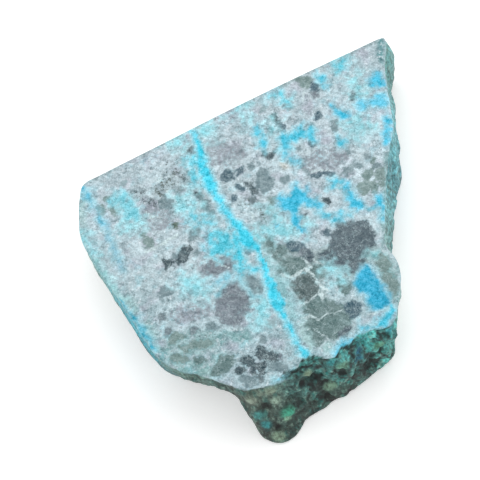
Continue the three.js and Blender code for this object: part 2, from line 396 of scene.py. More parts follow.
def fitted(points, lowest, highest):
    """The points in metres, with their box in plan stretched and moved onto the CAD box."""
    low, high = points.min(axis=0), points.max(axis=0)
    scale = (highest - lowest) / (high - low)
    return lowest + (points - low) * scale


lowest, highest = (np.array(corner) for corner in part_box("slab"))
thickness = 1000 * (highest[2] - lowest[2])
points, quads, columns = slab_mesh(thickness)
places = fitted(points, lowest, highest)

slab_data = bpy.data.meshes.new("chrysocolla_slab")
slab_data.from_pydata(places, [], quads.tolist())
slab_data.polygons.foreach_set("use_smooth", np.ones(len(slab_data.polygons), bool))
slab = bpy.data.objects.new("chrysocolla_slab", slab_data)
bpy.context.collection.objects.link(slab)
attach(slab, "root")
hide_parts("slab")


# THE MARKINGS. Crystals and angular grains of other minerals, cut through by the saw, and the blue that
# filled the cracks and soaked into the rock beside them. Each is an outline or a stroke on the sawn face,
# in millimetres, and carries on down through the slab at a slant, as a vein does.
DIP = np.array([0.35, -0.5])  # how far a marking shifts in plan for each millimetre down

# The rock's own colour: feldspar, into which greyer quartz and weathered rock drift over several millimetres.
# Copper has stained it round the blue, and more deeply towards the spur.
FELDSPAR = "#C3D9E1"
QUARTZ = "#B9CAD4"
WEATHERED = "#A9BFC5"
COPPER_STAINED = "#8CC2CE"
SPUR_STAINED = "#8FB4BC"

# Broader stains over it, by colour. For each stain: how softly it ends, how strong it is and its outline.
STAINS = [
    # green copper stain
    ("#78A9AA", [
        (0.7, 0.9, [
            (-14.4, -18.4), (-13, -17.8), (-11.6, -18), (-11.2, -19), (-11.8, -20.2), (-13.4, -20.4)]),
        (1, 0.85, [
            (-12.4, -19.9), (-8, -19.4), (-4, -19.4), (-2.2, -20.2), (-3.4, -21.4), (-4.2, -24),
            (-6.2, -24.8), (-9, -23.6), (-12.4, -22)]),
        (0.8, 0.75, [
            (-12.6, -16.6), (-9, -15.6), (-4, -16.2), (1.5, -16.6), (2, -18.6), (-4, -19.6),
            (-9, -19.8), (-12.4, -18.6)]),
        (0.5, 0.8, [
            (24.5, 14.5), (25.4, 14), (25, 9), (24.6, 3), (24.3, -3.6), (23.8, -3.6), (24, 3),
            (24.2, 9)]),
        (0.8, 0.85, [
            (20.6, -4.4), (22.6, -3.6), (24.6, -4.2), (26.4, -7), (26.6, -11), (26, -14), (24.8, -13),
            (23.4, -9.8), (22, -7), (20.6, -6)]),
    ]),
    # the same, thicker
    ("#508F94", [
        (0.6, 0.9, [(23.9, 36.4), (25.3, 36.6), (25.2, 34), (25.1, 31), (24.2, 31.4), (23.9, 33.6)]),
        (0.4, 0.75, [
            (-28.4, 4.4), (-27.3, 1.4), (-26, -1), (-24.4, -3.6), (-22.4, -6.8), (-20.2, -10.2),
            (-20, -9.4), (-22.2, -5.8), (-24.2, -2.4), (-26, 1.2), (-27.2, 4.4)]),
        (0.4, 0.8, [(-15.4, -17.6), (-14.2, -19.4), (-12.8, -21), (-12.6, -20.4), (-14, -18.4)]),
    ]),
    # the same, thin
    ("#99C2C2", [
        (0.5, 0.7, [(-6.4, -22.8), (-5.4, -22.5), (-4.8, -23.4), (-5.4, -24.1), (-6.3, -23.8)]),
        (0.8, 0.7, [(-28.2, 12), (-26.9, 11), (-26.7, 8), (-26.9, 4.6), (-27.9, 4.2), (-28.4, 8)]),
        (0.9, 0.7, [
            (-22, -7), (-18.6, -12.4), (-15.4, -17.6), (-13.6, -16.6), (-15.4, -13), (-18.4, -9)]),
        (0.5, 0.8, [(13.6, -19.6), (14.4, -19.2), (15, -20), (15.2, -21.2), (14.4, -22), (13.2, -21)]),
    ]),
    # pale quartz-rich rock
    ("#B2D0D8", [
        (0.8, 0.7, [
            (0.2, 8), (2.2, 7.6), (3.6, 6), (5.6, 5), (7.8, 3.6), (7.4, 2.8), (5.2, 4.2), (2, 4.4),
            (-0.6, 5)]),
        (1, 0.5, [(15, 31), (22, 33), (24, 30), (22, 26), (17, 25), (14, 27)]),
        (0.3, 0.9, [
            (14.4, -8.6), (15.4, -9), (16, -9.6), (16.4, -10.8), (17.2, -12), (17.6, -12.9),
            (16.8, -13.2), (15.8, -12.8), (15, -12), (14.8, -10.8), (14.2, -9.8)]),
        (0.4, 0.8, [
            (20.2, -14.4), (21.2, -14.4), (22, -16.4), (21.2, -17.4), (20.2, -17.2), (18.6, -16.2)]),
    ]),
    # a rusty fleck
    ("#C6C1B2", [
        (0.5, 0.6, [(7, 14.6), (8.2, 13.8), (8.6, 12.8), (7.6, 12.4), (6.8, 13.4)]),
    ]),
    # grey-green rock between the dark grains
    ("#80999A", [
        (0.7, 0.75, [
            (-26, 13.8), (-20, 16.4), (-12, 20), (-4, 23.7), (4, 27.2), (12, 30.6), (19, 33.5),
            (24, 35.7), (24.2, 36.5), (12, 31.5), (-4, 24.5), (-20, 17.2), (-26.4, 14.4)]),
        (0.7, 0.9, [
            (4.4, 0.2), (5.6, -0.8), (7, -1.4), (10.4, -1.6), (11.6, -3), (13, -3), (15, -2.2),
            (16.4, 0), (21, 1.4), (22.6, -2.6), (22.4, -5.4), (20.2, -7.8), (17.6, -8.8), (16.4, -7.6),
            (14.6, -6.8), (14.8, -8), (14.2, -9.6), (14.8, -12), (16.4, -13.2), (18.4, -12.8),
            (19.9, -13.6), (19.6, -15.6), (18.2, -18), (15.6, -19.2), (14, -19.6), (12.6, -20.4),
            (11.2, -19), (10.4, -16.4), (10.6, -13.6), (9.6, -12), (9, -9.4), (9.6, -7.6), (6.4, -7.2),
            (5.8, -5), (5.4, -3), (4, -1.6)]),
    ]),
]

# Grains, by the mineral they are cut from: its colour, how much of the grain it covers, and the outlines.
GRAINS = [
    # big fresh hornblende grains
    ("#55656E", 1.0, [
        [(16.4, 0.4), (16.4, 1.8), (17.8, 1.5), (19.6, 1.7), (21, 1.4), (21.8, 0.2), (22.4, -1.5),
         (22.5, -3), (21.5, -3.8), (20.8, -4.8), (20.7, -6), (19.6, -7.4), (18.2, -7.7), (16.6, -7),
         (15.6, -6.1), (14.6, -5.2), (13.4, -4.8), (13.2, -4), (14.4, -3.6), (15.4, -2.8), (15.1, -1.2),
         (15.7, -0.2)],
        [(10.3, -2.9), (11, -2.6), (11.8, -3.4), (12.1, -4.4), (11.5, -5), (10.8, -4.4), (10.4, -3.6)],
        [(16.6, -17.6), (17.6, -17.2), (18, -17.8), (17.4, -18.8), (16.6, -19), (16, -18.6)],
    ]),
    # slate-grey grains
    ("#3E5057", 1.0, [
        [(-3.8, 18), (-3.1, 17.9), (-1.8, 17), (-1.9, 16.7), (-2.7, 17), (-3.4, 17.1)],
        [(-4.7, 16.4), (-4.1, 16.4), (-3.6, 15.6), (-2.8, 15.3), (-1.7, 15.3), (-1.4, 14.8), (-2, 14.6),
         (-3, 14.9), (-3.9, 15.1), (-4.5, 15.8)],
        [(-7.7, 9.5), (-7.2, 9.6), (-6.7, 9), (-6.2, 8.2), (-5.4, 7.8), (-6.4, 8), (-7.3, 8.8)],
        [(0.3, -21.8), (1, -21.4), (1.8, -21.4), (2.3, -22), (1.9, -22.8), (1.4, -23.1), (0.7, -22.6)],
        [(-0.2, -22.8), (0.5, -23), (0.8, -23.6), (0.2, -24.2), (-0.5, -24), (-0.5, -23.3)],
        [(2.1, -22.8), (2.6, -23.3), (2.8, -24.2), (2.2, -24.3), (1.8, -23.5)],
        [(3, -22.8), (3.8, -22.5), (4.1, -23.2), (4, -24.1), (3.4, -24.4), (3, -23.7)],
        [(2.8, -19.8), (3.5, -19.7), (4.1, -20.3), (5, -20.8), (5.9, -21.6), (6, -22.4), (5.2, -22.6),
         (3.5, -21.8), (2.9, -21), (3, -20.5)],
        [(1.2, 10.7), (1.8, 10.3), (2.4, 9.5), (3, 8.6), (2.6, 8.3), (1.5, 10)],
        [(5.6, 23), (6.2, 23.2), (6.6, 22.4), (6.8, 21.8), (6.2, 21.6), (5.8, 22.2)],
        [(4, 15.9), (5, 15.7), (5.8, 15.9), (6.4, 16.6), (6.2, 16), (5.6, 15.2), (5, 15), (4.4, 15.3)],
        [(14.2, 6.6), (14.8, 6.6), (15.5, 5.2), (15, 5), (14.4, 5.8)],
        [(10.5, 3.9), (11.1, 3.7), (10.9, 3.2), (10.3, 3.4)],
        [(-9.7, -0.4), (-9, -0.5), (-8.5, -1.2), (-8.8, -2), (-8.9, -2.9), (-9.6, -3.5), (-10.4, -3.3),
         (-10.8, -2.6)],
        [(-13, -2.4), (-12, -2.6), (-11.5, -2.8), (-11.9, -3.4), (-12.7, -4.1), (-12.9, -3.3)],
        [(19.3, 25.8), (19.9, 25.6), (20.1, 25.1), (19.5, 25)],
    ]),
    # slate-grey grains, much broken up
    ("#505E63", 0.46, [
        [(-12.6, 16.3), (-11.6, 16.4), (-10.4, 16.2), (-9.6, 15.9), (-9.4, 15.3), (-9.9, 14.8),
         (-10.9, 14.6), (-11.4, 15.1), (-12.6, 15.4)],
        [(-9.9, 14.3), (-9.2, 14.2), (-8.7, 13.5), (-9.1, 13.4), (-9.8, 13.9)],
        [(-10.2, 13.3), (-9.6, 12.9), (-9.3, 12.2), (-9.7, 12), (-10.1, 12.6)],
        [(-18.8, 10.9), (-17.8, 11.1), (-16.6, 10.4), (-17.2, 10.1), (-18.8, 10.3)],
        [(-17.6, 9.9), (-16.7, 10), (-15.9, 9.5), (-16.2, 9), (-16.9, 8.9), (-17.6, 9.3)],
        [(-15.9, 8.6), (-15.2, 9), (-14.4, 9), (-14.2, 8.4), (-15.1, 7.3), (-15.7, 7), (-15.9, 7.8)],
        [(-15.1, 7.2), (-14.2, 7.1), (-13.8, 6.5), (-14.2, 6), (-14.9, 6.2), (-15.3, 6.7)],
    ]),
    # softer slate grains, part altered
    ("#758C93", 0.8, [
        [(4.6, -22.8), (5.6, -22.8), (6.6, -23.1), (7.8, -23.4), (7.5, -24.1), (6.3, -24.2),
         (5, -23.8)],
        [(0.4, -24.8), (1.4, -25), (2.4, -25.3), (2.6, -26.1), (1.6, -26.5), (0.2, -25.4)],
        [(3.5, -18.1), (4.2, -18), (4.3, -18.8), (3.6, -18.7)],
        [(2.9, 12.3), (3.7, 12.9), (4.6, 12.6), (5, 11.6), (5.6, 10.9), (5.7, 10.2), (5.2, 9.6),
         (4.9, 8.8), (4.1, 8.6), (3.8, 9.3), (3, 9.5), (2.8, 10.6)],
        [(13.4, 14.9), (14, 15), (14.4, 14.3), (13.9, 13.9)],
        [(12.9, 13.6), (14, 13.2), (15.2, 12.8), (15, 12.2), (13.6, 12.4)],
        [(11.5, 12.6), (12.3, 12.5), (12.4, 11.7), (11.8, 11.5), (11.2, 11.9)],
        [(17.9, 15.3), (18.7, 15.3), (19.1, 14.6), (18.4, 14.5)],
        [(18.9, 12.5), (19.6, 12.6), (20.7, 12.4), (20.9, 11.9), (20.1, 11.7), (19.2, 11.9)],
        [(22.5, 11.9), (23.2, 12.2), (23.7, 11.8), (23.8, 11.2), (22.9, 11.3)],
        [(17.7, 11.6), (18.2, 11.5), (18.2, 10.4), (17.8, 10.6)],
        [(18.5, 11.4), (19.1, 11.3), (19.2, 10.5), (18.6, 10.7)],
        [(15.8, 20.6), (16.4, 21), (16.8, 20.4), (16.6, 19.4), (16.1, 19), (15.8, 19.8)],
        [(7.6, 25.4), (8.4, 25), (9, 24.2), (8.4, 24), (7.5, 24.6)],
        [(21, 19.7), (21.8, 19.3), (22.8, 19.5), (22.9, 18.9), (22.2, 18.9), (21.4, 19.1)],
        [(-8.2, 2.6), (-7.4, 2.9), (-7, 2.3), (-7.4, 1.2), (-8.2, 0.6), (-8.7, 1.2)],
        [(-13.4, -8.2), (-12.7, -7.2), (-12, -7.9), (-11.4, -8.3), (-12.6, -9.3), (-12.9, -10.1),
         (-13.8, -9)],
        [(-5.8, -14.9), (-4.6, -14.8), (-3.9, -15.6), (-4.6, -16), (-5.6, -15.8)],
        [(-11.2, -1.6), (-10.6, -1.9), (-10.8, -2.3), (-11.4, -2.2)],
        [(0.2, -6.9), (1, -6.5), (2.2, -6.9), (3, -7.4), (3.6, -8.2), (3.8, -9), (3.4, -9.7),
         (2.6, -9.8), (1.2, -8.3)],
        [(-14.1, 8.6), (-13.3, 9), (-12, 8.9), (-11.6, 8.3), (-11.6, 7.4), (-12.2, 7.1), (-13, 7.2),
         (-13.9, 7.3)],
        [(7, 11), (7.8, 11.4), (8.2, 10.9), (8, 10.1), (7.4, 9.8), (7, 10.4)],
    ]),
    # olive grains of altered feldspar
    ("#5F7A7A", 0.97, [
        [(6.2, -5.4), (7.4, -4.6), (8.8, -4.2), (10, -4.3), (10.8, -5), (10.9, -5.9), (10.3, -6.9),
         (9, -7.1), (7.6, -7.2), (6.6, -6.8), (6, -6.2)],
        [(6.1, -2.6), (6.8, -1.9), (7.6, -1.7), (7.9, -2.6), (7.6, -3.4), (6.8, -3.9), (6, -4),
         (5.5, -3.4)],
        [(10.3, -13.4), (11.2, -12.8), (12.4, -12), (13.2, -12), (14.2, -12.2), (15, -12.7),
         (16, -13.2), (17, -13.4), (16.7, -14.2), (15.4, -14.6), (14, -15), (13, -15.2), (12, -14.8),
         (11, -14.2)],
        [(11.2, -15.4), (12.6, -15.6), (13.8, -15.4), (15, -14.9), (16.4, -14.6), (17.4, -14.9),
         (18, -15.8), (17.9, -16.8), (16.4, -18.2), (15.6, -18.9), (14.4, -18.8), (13.4, -17.8),
         (12.6, -17.6), (11.1, -16.4)],
        [(11.3, -17.4), (12.4, -18), (13.4, -18.4), (13.8, -19.2), (13, -20), (12, -20.1),
         (11.4, -19.3), (11, -18.4)],
        [(11.5, -6.6), (12.3, -6), (13.4, -6), (14.2, -6.4), (14.6, -7.2), (14, -7.8), (13, -8),
         (12.2, -7.6)],
        [(4.2, -0.2), (4.8, 0.3), (5.4, -0.4), (5.9, -1.6), (5.6, -2.6), (5, -3), (4.6, -2),
         (4.3, -1.2)],
                [(-3.5, -21), (-2.2, -20.7), (-1.2, -21.1), (-0.9, -22), (-1.6, -23), (-2.6, -23.9),
                 (-3.9, -24.4), (-4.6, -24), (-4.2, -22.8), (-3.8, -21.9)],
        [(-7.5, -20.8), (-6.2, -20.7), (-5.8, -21.4), (-6.6, -22), (-7.4, -21.6)],
        [(16.3, -8.8), (17.2, -9.1), (18.9, -10), (18.2, -11), (17.6, -11.7), (17.2, -11.2),
         (16.8, -10), (16.3, -9.6)],
    ]),
    # an olive-brown grain
    ("#56696A", 1.0, [
        [(8.6, -9), (9.6, -8), (10.8, -7.5), (12, -7.9), (12.7, -8.8), (13.2, -9.7), (13.1, -10.7),
         (12.4, -11.3), (11.4, -11.8), (10.6, -12.2), (10, -11.6), (9.7, -10.6), (9.2, -9.9)],
    ]),
    # paler olive grains, more altered
    ("#78918F", 0.75, [
        [(-11.2, -19.9), (-10.2, -20.3), (-9, -20.6), (-8.7, -21.2), (-9.6, -21.5), (-10.6, -21),
         (-11.5, -20.6)],
        [(-10.9, -15.8), (-9.9, -16.3), (-9.4, -16.8), (-10.2, -17.2), (-10.9, -18), (-11.6, -17.8),
         (-11.3, -16.8)],
        [(-10, -18.6), (-9, -18.8), (-8.3, -19.4), (-9.4, -19.4)],
        [(22.8, -5), (23.6, -4.8), (24.4, -5.4), (25, -6.8), (24.4, -8.2), (23.4, -7.6), (22.9, -6.4)],
        [(24, -8.8), (25.2, -8.6), (26, -10), (25.8, -12), (25, -12.6), (24.6, -11), (23.8, -10)],
        [(-8.3, -18), (-7, -17.7), (-5.6, -17.8), (-4.4, -18.1), (-4.7, -18.8), (-6, -19),
         (-7.6, -18.9), (-8.6, -18.6)],
        [(5, 7.3), (5.8, 7.5), (6, 6.4), (5.6, 5.4), (5, 5.3), (5.1, 6.4)],
        [(15.7, 14), (16, 14.9), (16.6, 14.6), (17.3, 14.2), (17.6, 13.4), (17, 12.9), (16.2, 13)],
        [(20.8, 10.4), (21.5, 10.8), (22.4, 10.9), (22.8, 10.2), (22.4, 9.5), (21.9, 8.8), (21.4, 9.3),
         (21.1, 9.8)],
        [(23.3, 10.9), (24.2, 11.2), (24.3, 10.2), (24.2, 9.3), (23.5, 9.1), (23.1, 9.9)],
        [(19.9, 8), (20.5, 8.5), (21.3, 8.6), (21.9, 8.2), (22.2, 7.4), (21.6, 6.8), (20.9, 6.4),
         (20.4, 7)],
        [(22.3, 8.6), (23.1, 8.6), (23.3, 7.6), (23, 6.6), (22.4, 6.4), (22.1, 7.2)],
        [(23.7, 8.6), (24.5, 8.8), (24.7, 7.9), (24, 7.7)],
        [(9.8, 30.3), (10.6, 30), (11.6, 29.7), (12.2, 29.2), (12.1, 28.3), (11.5, 28), (10.8, 28.6),
         (10, 29.4)],
        [(-16.2, 1.8), (-15.6, 2), (-15, 1.4), (-15.1, 0.2), (-15.8, 0), (-16.3, 0.8)],
        [(-24.7, 8.4), (-23.9, 8.8), (-23.4, 7.6), (-23.9, 6.9), (-24.4, 7.5)],
        [(-22.4, 8.6), (-21.6, 8), (-21, 7.2), (-21.6, 7), (-22.4, 7.8)],
    ]),
    # dark olive grains
    ("#4A5855", 0.46, [
        [(-12.9, 14), (-12.1, 14.5), (-11.2, 14.2), (-10.8, 13.5), (-11.5, 13.6), (-12.2, 13.8)],
        [(-13.7, 12.3), (-12.6, 12.9), (-11.5, 12.8), (-11.2, 12.2), (-11.5, 11.4), (-12.2, 10.9),
         (-13.1, 11.1), (-14.2, 11.3), (-14.6, 11.9)],
        [(-14.4, 11.4), (-13.8, 11.2), (-13.7, 10.2), (-13.3, 9.6), (-13.6, 9.3), (-14.2, 9.8),
         (-14.5, 10.6)],
        [(-11.2, 10.9), (-10.4, 10.6), (-9.9, 10.2), (-10, 9.7), (-10.7, 9.9), (-11.3, 10.3)],
        [(3, 6.1), (3.6, 6.5), (4, 5.9), (3.7, 5.3), (3.1, 5.4)],
        [(3.3, 4.7), (3.9, 4.6), (4.4, 4.2), (5.2, 3.8), (5.5, 3.2), (5.6, 2.4), (5, 2), (4.2, 2.1),
         (3.3, 2.2), (2.5, 2.5), (2.9, 3.1), (3.8, 3.3), (3.7, 3.9)],
        [(0.7, 7.3), (1.4, 7.5), (1.7, 6.8), (1, 6.9)],
    ]),
    # purple-brown grains, stained by iron
    ("#76808A", 0.95, [
        [(-6.2, -4), (-5, -3.3), (-3.8, -3.2), (-2.6, -3), (-1.6, -2.6), (-1.1, -3.4), (-0.9, -4.4),
         (-1.3, -5.1), (-2.5, -5.6), (-4, -6), (-5.4, -5.9), (-6.4, -5.2)],
        [(-0.3, -7.3), (0.2, -8), (0.3, -9.2), (0.8, -10.2), (1.4, -11.2), (1.2, -12.4), (1, -13.3),
         (0.4, -14.6), (-0.6, -15.2), (-1.8, -15.3), (-2.8, -15), (-3.2, -14), (-4, -13.4),
         (-4.1, -12.2), (-3.8, -10.8), (-3.6, -9.6), (-3, -8.8), (-2.2, -8), (-1.2, -7.5)],
        [(6.3, -21.6), (6.8, -21.5), (7.1, -22), (6.6, -22.3)],
        [(12.7, 27), (13.4, 26.9), (13.6, 26), (12.9, 25.8)],
    ]),
    # purplish rock, finely speckled
    ("#8B949E", 0.5, [
        [(-11.5, -12), (-10.8, -11.6), (-9.3, -11.8), (-8, -11.2), (-6.5, -10.6), (-5.4, -11.2),
         (-5.2, -12.4), (-6, -13.4), (-7.4, -13.6), (-8.4, -14), (-9.6, -14.3), (-10.6, -14.4),
         (-11.4, -13.4)],
        [(-16.5, 8), (-13, 7), (-11.5, 5), (-12.5, 3.6), (-15, 3.4), (-16.6, 5.4)],
        [(11.5, 14.5), (14, 15.6), (18, 15.4), (19, 13.8), (16, 12), (12, 11.4), (10.8, 12.6)],
        [(-5.5, 19), (-1, 18.6), (1, 16.4), (-1.6, 14.4), (-5, 14.8)],
    ]),
    # navy and dark teal grains, soaked with copper
    ("#43606E", 1.0, [
        [(-2.9, 13), (-2.5, 13.6), (-1.9, 13.4), (-1.7, 12.8), (-1.2, 12.3), (-1, 11.7), (-1.8, 11.4),
         (-2.7, 11.3), (-3, 12)],
        [(-0.5, 13.2), (-0.1, 13.8), (0.4, 13.5), (0.5, 12.8), (0, 12.4), (-0.4, 12.6)],
        [(7.9, -1.5), (8.6, -1.3), (9.6, -1.5), (10.3, -1.7), (10.6, -2.2), (10, -2.7), (9.2, -2.9),
         (8.4, -2.6)],
        [(17.6, -13.2), (18.6, -13), (19.5, -13.3), (19.9, -14.2), (19.8, -15.2), (18.9, -15.8),
         (18.2, -15.6), (17.9, -14.8), (17.4, -14.2)],
        [(6.7, 21.1), (7.2, 21.4), (7.7, 20.8), (7.6, 20), (7, 19.8), (6.5, 20.3)],
        [(13, 22.4), (13.6, 22.9), (14.1, 22.4), (13.8, 21.7), (13.1, 21.7)],
        [(0.4, -1.9), (1.2, -1.7), (2, -2.2), (1.2, -2.5)],
        [(14, -0.2), (14.6, 0.4), (15, 0), (14.9, -0.7), (14.2, -0.8)],
        [(-0.9, 10.3), (-0.1, 10.3), (0.4, 9.7), (0.9, 9.1), (0.4, 9.1), (-0.3, 9.6)],
        [(12.3, 28.8), (13.2, 28.7), (13.6, 28.2), (13.5, 27.2), (13, 27), (12.6, 27.6)],
        [(12.1, 18.2), (12.7, 17.6), (12.9, 16.6), (12.4, 16.4), (12, 17.2)],
        [(-8.3, -8.3), (-7.4, -8.2), (-7.3, -9), (-8, -9.2), (-8.5, -8.8)],
        [(7.1, 2), (7.7, 2.1), (7.9, 1), (7.6, 0.2), (7.1, 0.6), (6.8, 1.4)],
        [(1.5, -9.9), (2.3, -10), (2.4, -10.5), (1.7, -10.6)],
        [(12, 11.2), (14, 11.3), (16, 11), (16, 10.6), (14, 10.7), (12.2, 10.7)],
    ]),
]

# Small grains: x, y, radius and colour.
SPOTS = [
    (-8.6, 18, 0.35, "#5F7177"), (-8, 17.2, 0.3, "#6D7D85"), (-13, 5.5, 0.5, "#5F7177"),
    (-16.2, 6.1, 0.35, "#5F7177"), (-11.1, 3.7, 0.45, "#596B60"), (-5.9, 6.6, 0.65, "#6F8C94"),
    (-5, 5.5, 0.5, "#6F8C94"), (0, 16.8, 0.5, "#6D7D85"), (-7.3, -1.8, 0.35, "#7F959C"),
    (-12.1, -15.7, 0.4, "#6D7D85"), (-7.9, -16, 0.45, "#6D7D85"), (-13.3, -12.9, 0.4, "#6D7D85"),
    (3.4, -25.2, 0.4, "#5F7177"), (-1.1, 7.9, 0.4, "#4F6A78"), (2.5, 7.2, 0.4, "#5F7177"),
    (22.4, 12.6, 0.35, "#768E8C"), (21.7, 13.6, 0.4, "#7F959C"), (-16.7, 2.4, 0.3, "#768E8C"),
    (-8.7, -7.2, 0.4, "#4F6A78"), (-23.1, 10.1, 0.45, "#768E8C"), (17.2, 9.4, 0.35, "#7F959C"),
    (1.7, 13.6, 0.35, "#7F959C"), (10, 16.2, 0.4, "#7F959C"), (-20.4, 12.6, 0.3, "#8DA6AC"),
    (5.2, -15.6, 0.5, "#8DA6AC"), (4.2, 24.6, 0.35, "#8DA6AC"),
]

# Where the rock is peppered with dark specks: x, y, half-width each way, and how thickly.
PEPPERED = [
    (-14.5, 7, 5, 4, 0.9), (-12, 13, 4, 4, 0.6), (-3, 13, 4, 6, 0.6), (2, 9, 3.5, 5, 0.7),
    (-9, -12.5, 4.5, 3, 0.8), (-2, -12, 3, 4, 0.6), (4, -22.5, 5, 3.5, 0.6), (-8, 1, 4, 4, 0.5),
    (22, 9, 3, 4, 0.5), (14, 13, 5, 3, 0.5), (-6, -16, 5, 2.5, 0.5), (-11, -2, 3, 3, 0.5),
    (6, 22, 5, 4, 0.3), (14, -14, 5, 5, 0.3), (8, -3, 4, 3, 0.4),
]

# Veins of chrysocolla: colour, how softly they end, how ragged they are, and points along each with its
# half-width there.
VEINS = [
    ("#2ED2EE", 0.3, 0.3, [
        (-8.7, 22.3, 0.45), (-8.1, 21.2, 0.5), (-7.4, 18.8, 0.55), (-7, 17.6, 0.65), (-6.8, 16.6, 0.85),
        (-6.3, 14.2, 0.95), (-6, 13, 1.05), (-5.6, 11.8, 1.15), (-5, 10.7, 1.15), (-4.4, 9.4, 0.85),
        (-3.8, 8.2, 0.75), (-3.2, 7, 0.75), (-2.6, 5.9, 0.7), (-1.9, 4.8, 0.6), (-1.2, 3.8, 0.5),
        (-0.4, 2.6, 0.9), (0.4, 1.1, 1.2), (1.2, 0, 1.35), (2.1, -0.9, 1.15), (3, -1.8, 0.85),
        (3.5, -3, 0.6), (3.9, -4.3, 0.5), (4.6, -7, 0.55), (5.1, -8.3, 0.9), (5.4, -9.8, 1.15),
        (5.9, -11.2, 1.25), (6.5, -12.5, 1.05), (7.1, -14, 0.65), (7.6, -15.4, 0.4), (8.3, -16.9, 0.38),
        (9, -18.4, 0.42), (9.7, -20, 0.45), (10.5, -21.4, 0.5), (11.3, -22.4, 0.6)]),
    ("#2CC9E2", 0.4, 0.6, [
        (-0.6, 1.5, 0.6), (-0.7, 0, 0.8), (-0.6, -1.6, 0.9), (-0.3, -3, 0.8), (0, -4.6, 0.7),
        (0.4, -5.6, 0.6), (1.6, -5.6, 0.4), (2.8, -5.9, 0.3)]),
    ("#7FC4D6", 0.3, 0.6, [
        (0, -6.2, 0.3), (-0.6, -6.8, 0.25), (-1.8, -7.5, 0.25), (-3, -8.6, 0.25), (-4, -10, 0.2)]),
    ("#86C8D8", 0.3, 0.6, [
        (0.2, -7, 0.25), (0.9, -8.6, 0.2), (1.6, -9.8, 0.2), (2.4, -10.8, 0.25), (3.6, -10.6, 0.3),
        (4.6, -10, 0.3)]),
    ("#79C4D8", 0.4, 0.8, [(-5.5, -8, 0.3), (-3, -7, 0.3), (-1, -6.6, 0.35), (0, -6, 0.4)]),
    ("#52B8D6", 0.4, 0.5, [
        (-27.7, 12.6, 0.5), (-27, 11.6, 0.55), (-26.2, 10.5, 0.5), (-25.7, 9.4, 0.45), (-25, 8.3, 0.35),
        (-24.4, 7, 0.35), (-23.7, 5.9, 0.4), (-23.1, 4.8, 0.35)]),
    ("#6DAFC9", 0.4, 0.5, [
        (-23.1, 4.8, 0.35), (-22.8, 3.6, 0.25), (-22.4, 2.4, 0.25), (-21.9, 1.2, 0.2),
        (-21.4, -0.2, 0.25), (-21, -1.6, 0.3), (-20.4, -2.8, 0.2), (-19.8, -4, 0.15)]),
    ("#8FC8CC", 0.5, 0.8, [
        (-27.4, 3.4, 0.3), (-26.2, 0.6, 0.3), (-24.2, -2.6, 0.25), (-22, -6.2, 0.25),
        (-20, -9.2, 0.3)]),
    ("#22A9C6", 0.35, 0.5, [
        (-20.6, -8.6, 0.1), (-18.8, -11.6, 0.25), (-17, -14.2, 0.45), (-15.6, -16.6, 0.55),
        (-14.6, -18.6, 0.5)]),
    ("#86B9C0", 0.6, 1.0, [
        (3.7, -1, 0.4), (4.5, -3.6, 0.5), (5.3, -6, 0.6), (6.3, -8, 0.7), (7.3, -9.8, 0.8),
        (8.2, -12, 0.7), (8.6, -14.5, 0.5)]),
    ("#A3C4C4", 0.3, 0.8, [(10.2, -15.2, 0.3), (10.5, -17, 0.5), (11, -19, 0.5), (11.5, -20.4, 0.35)]),
]

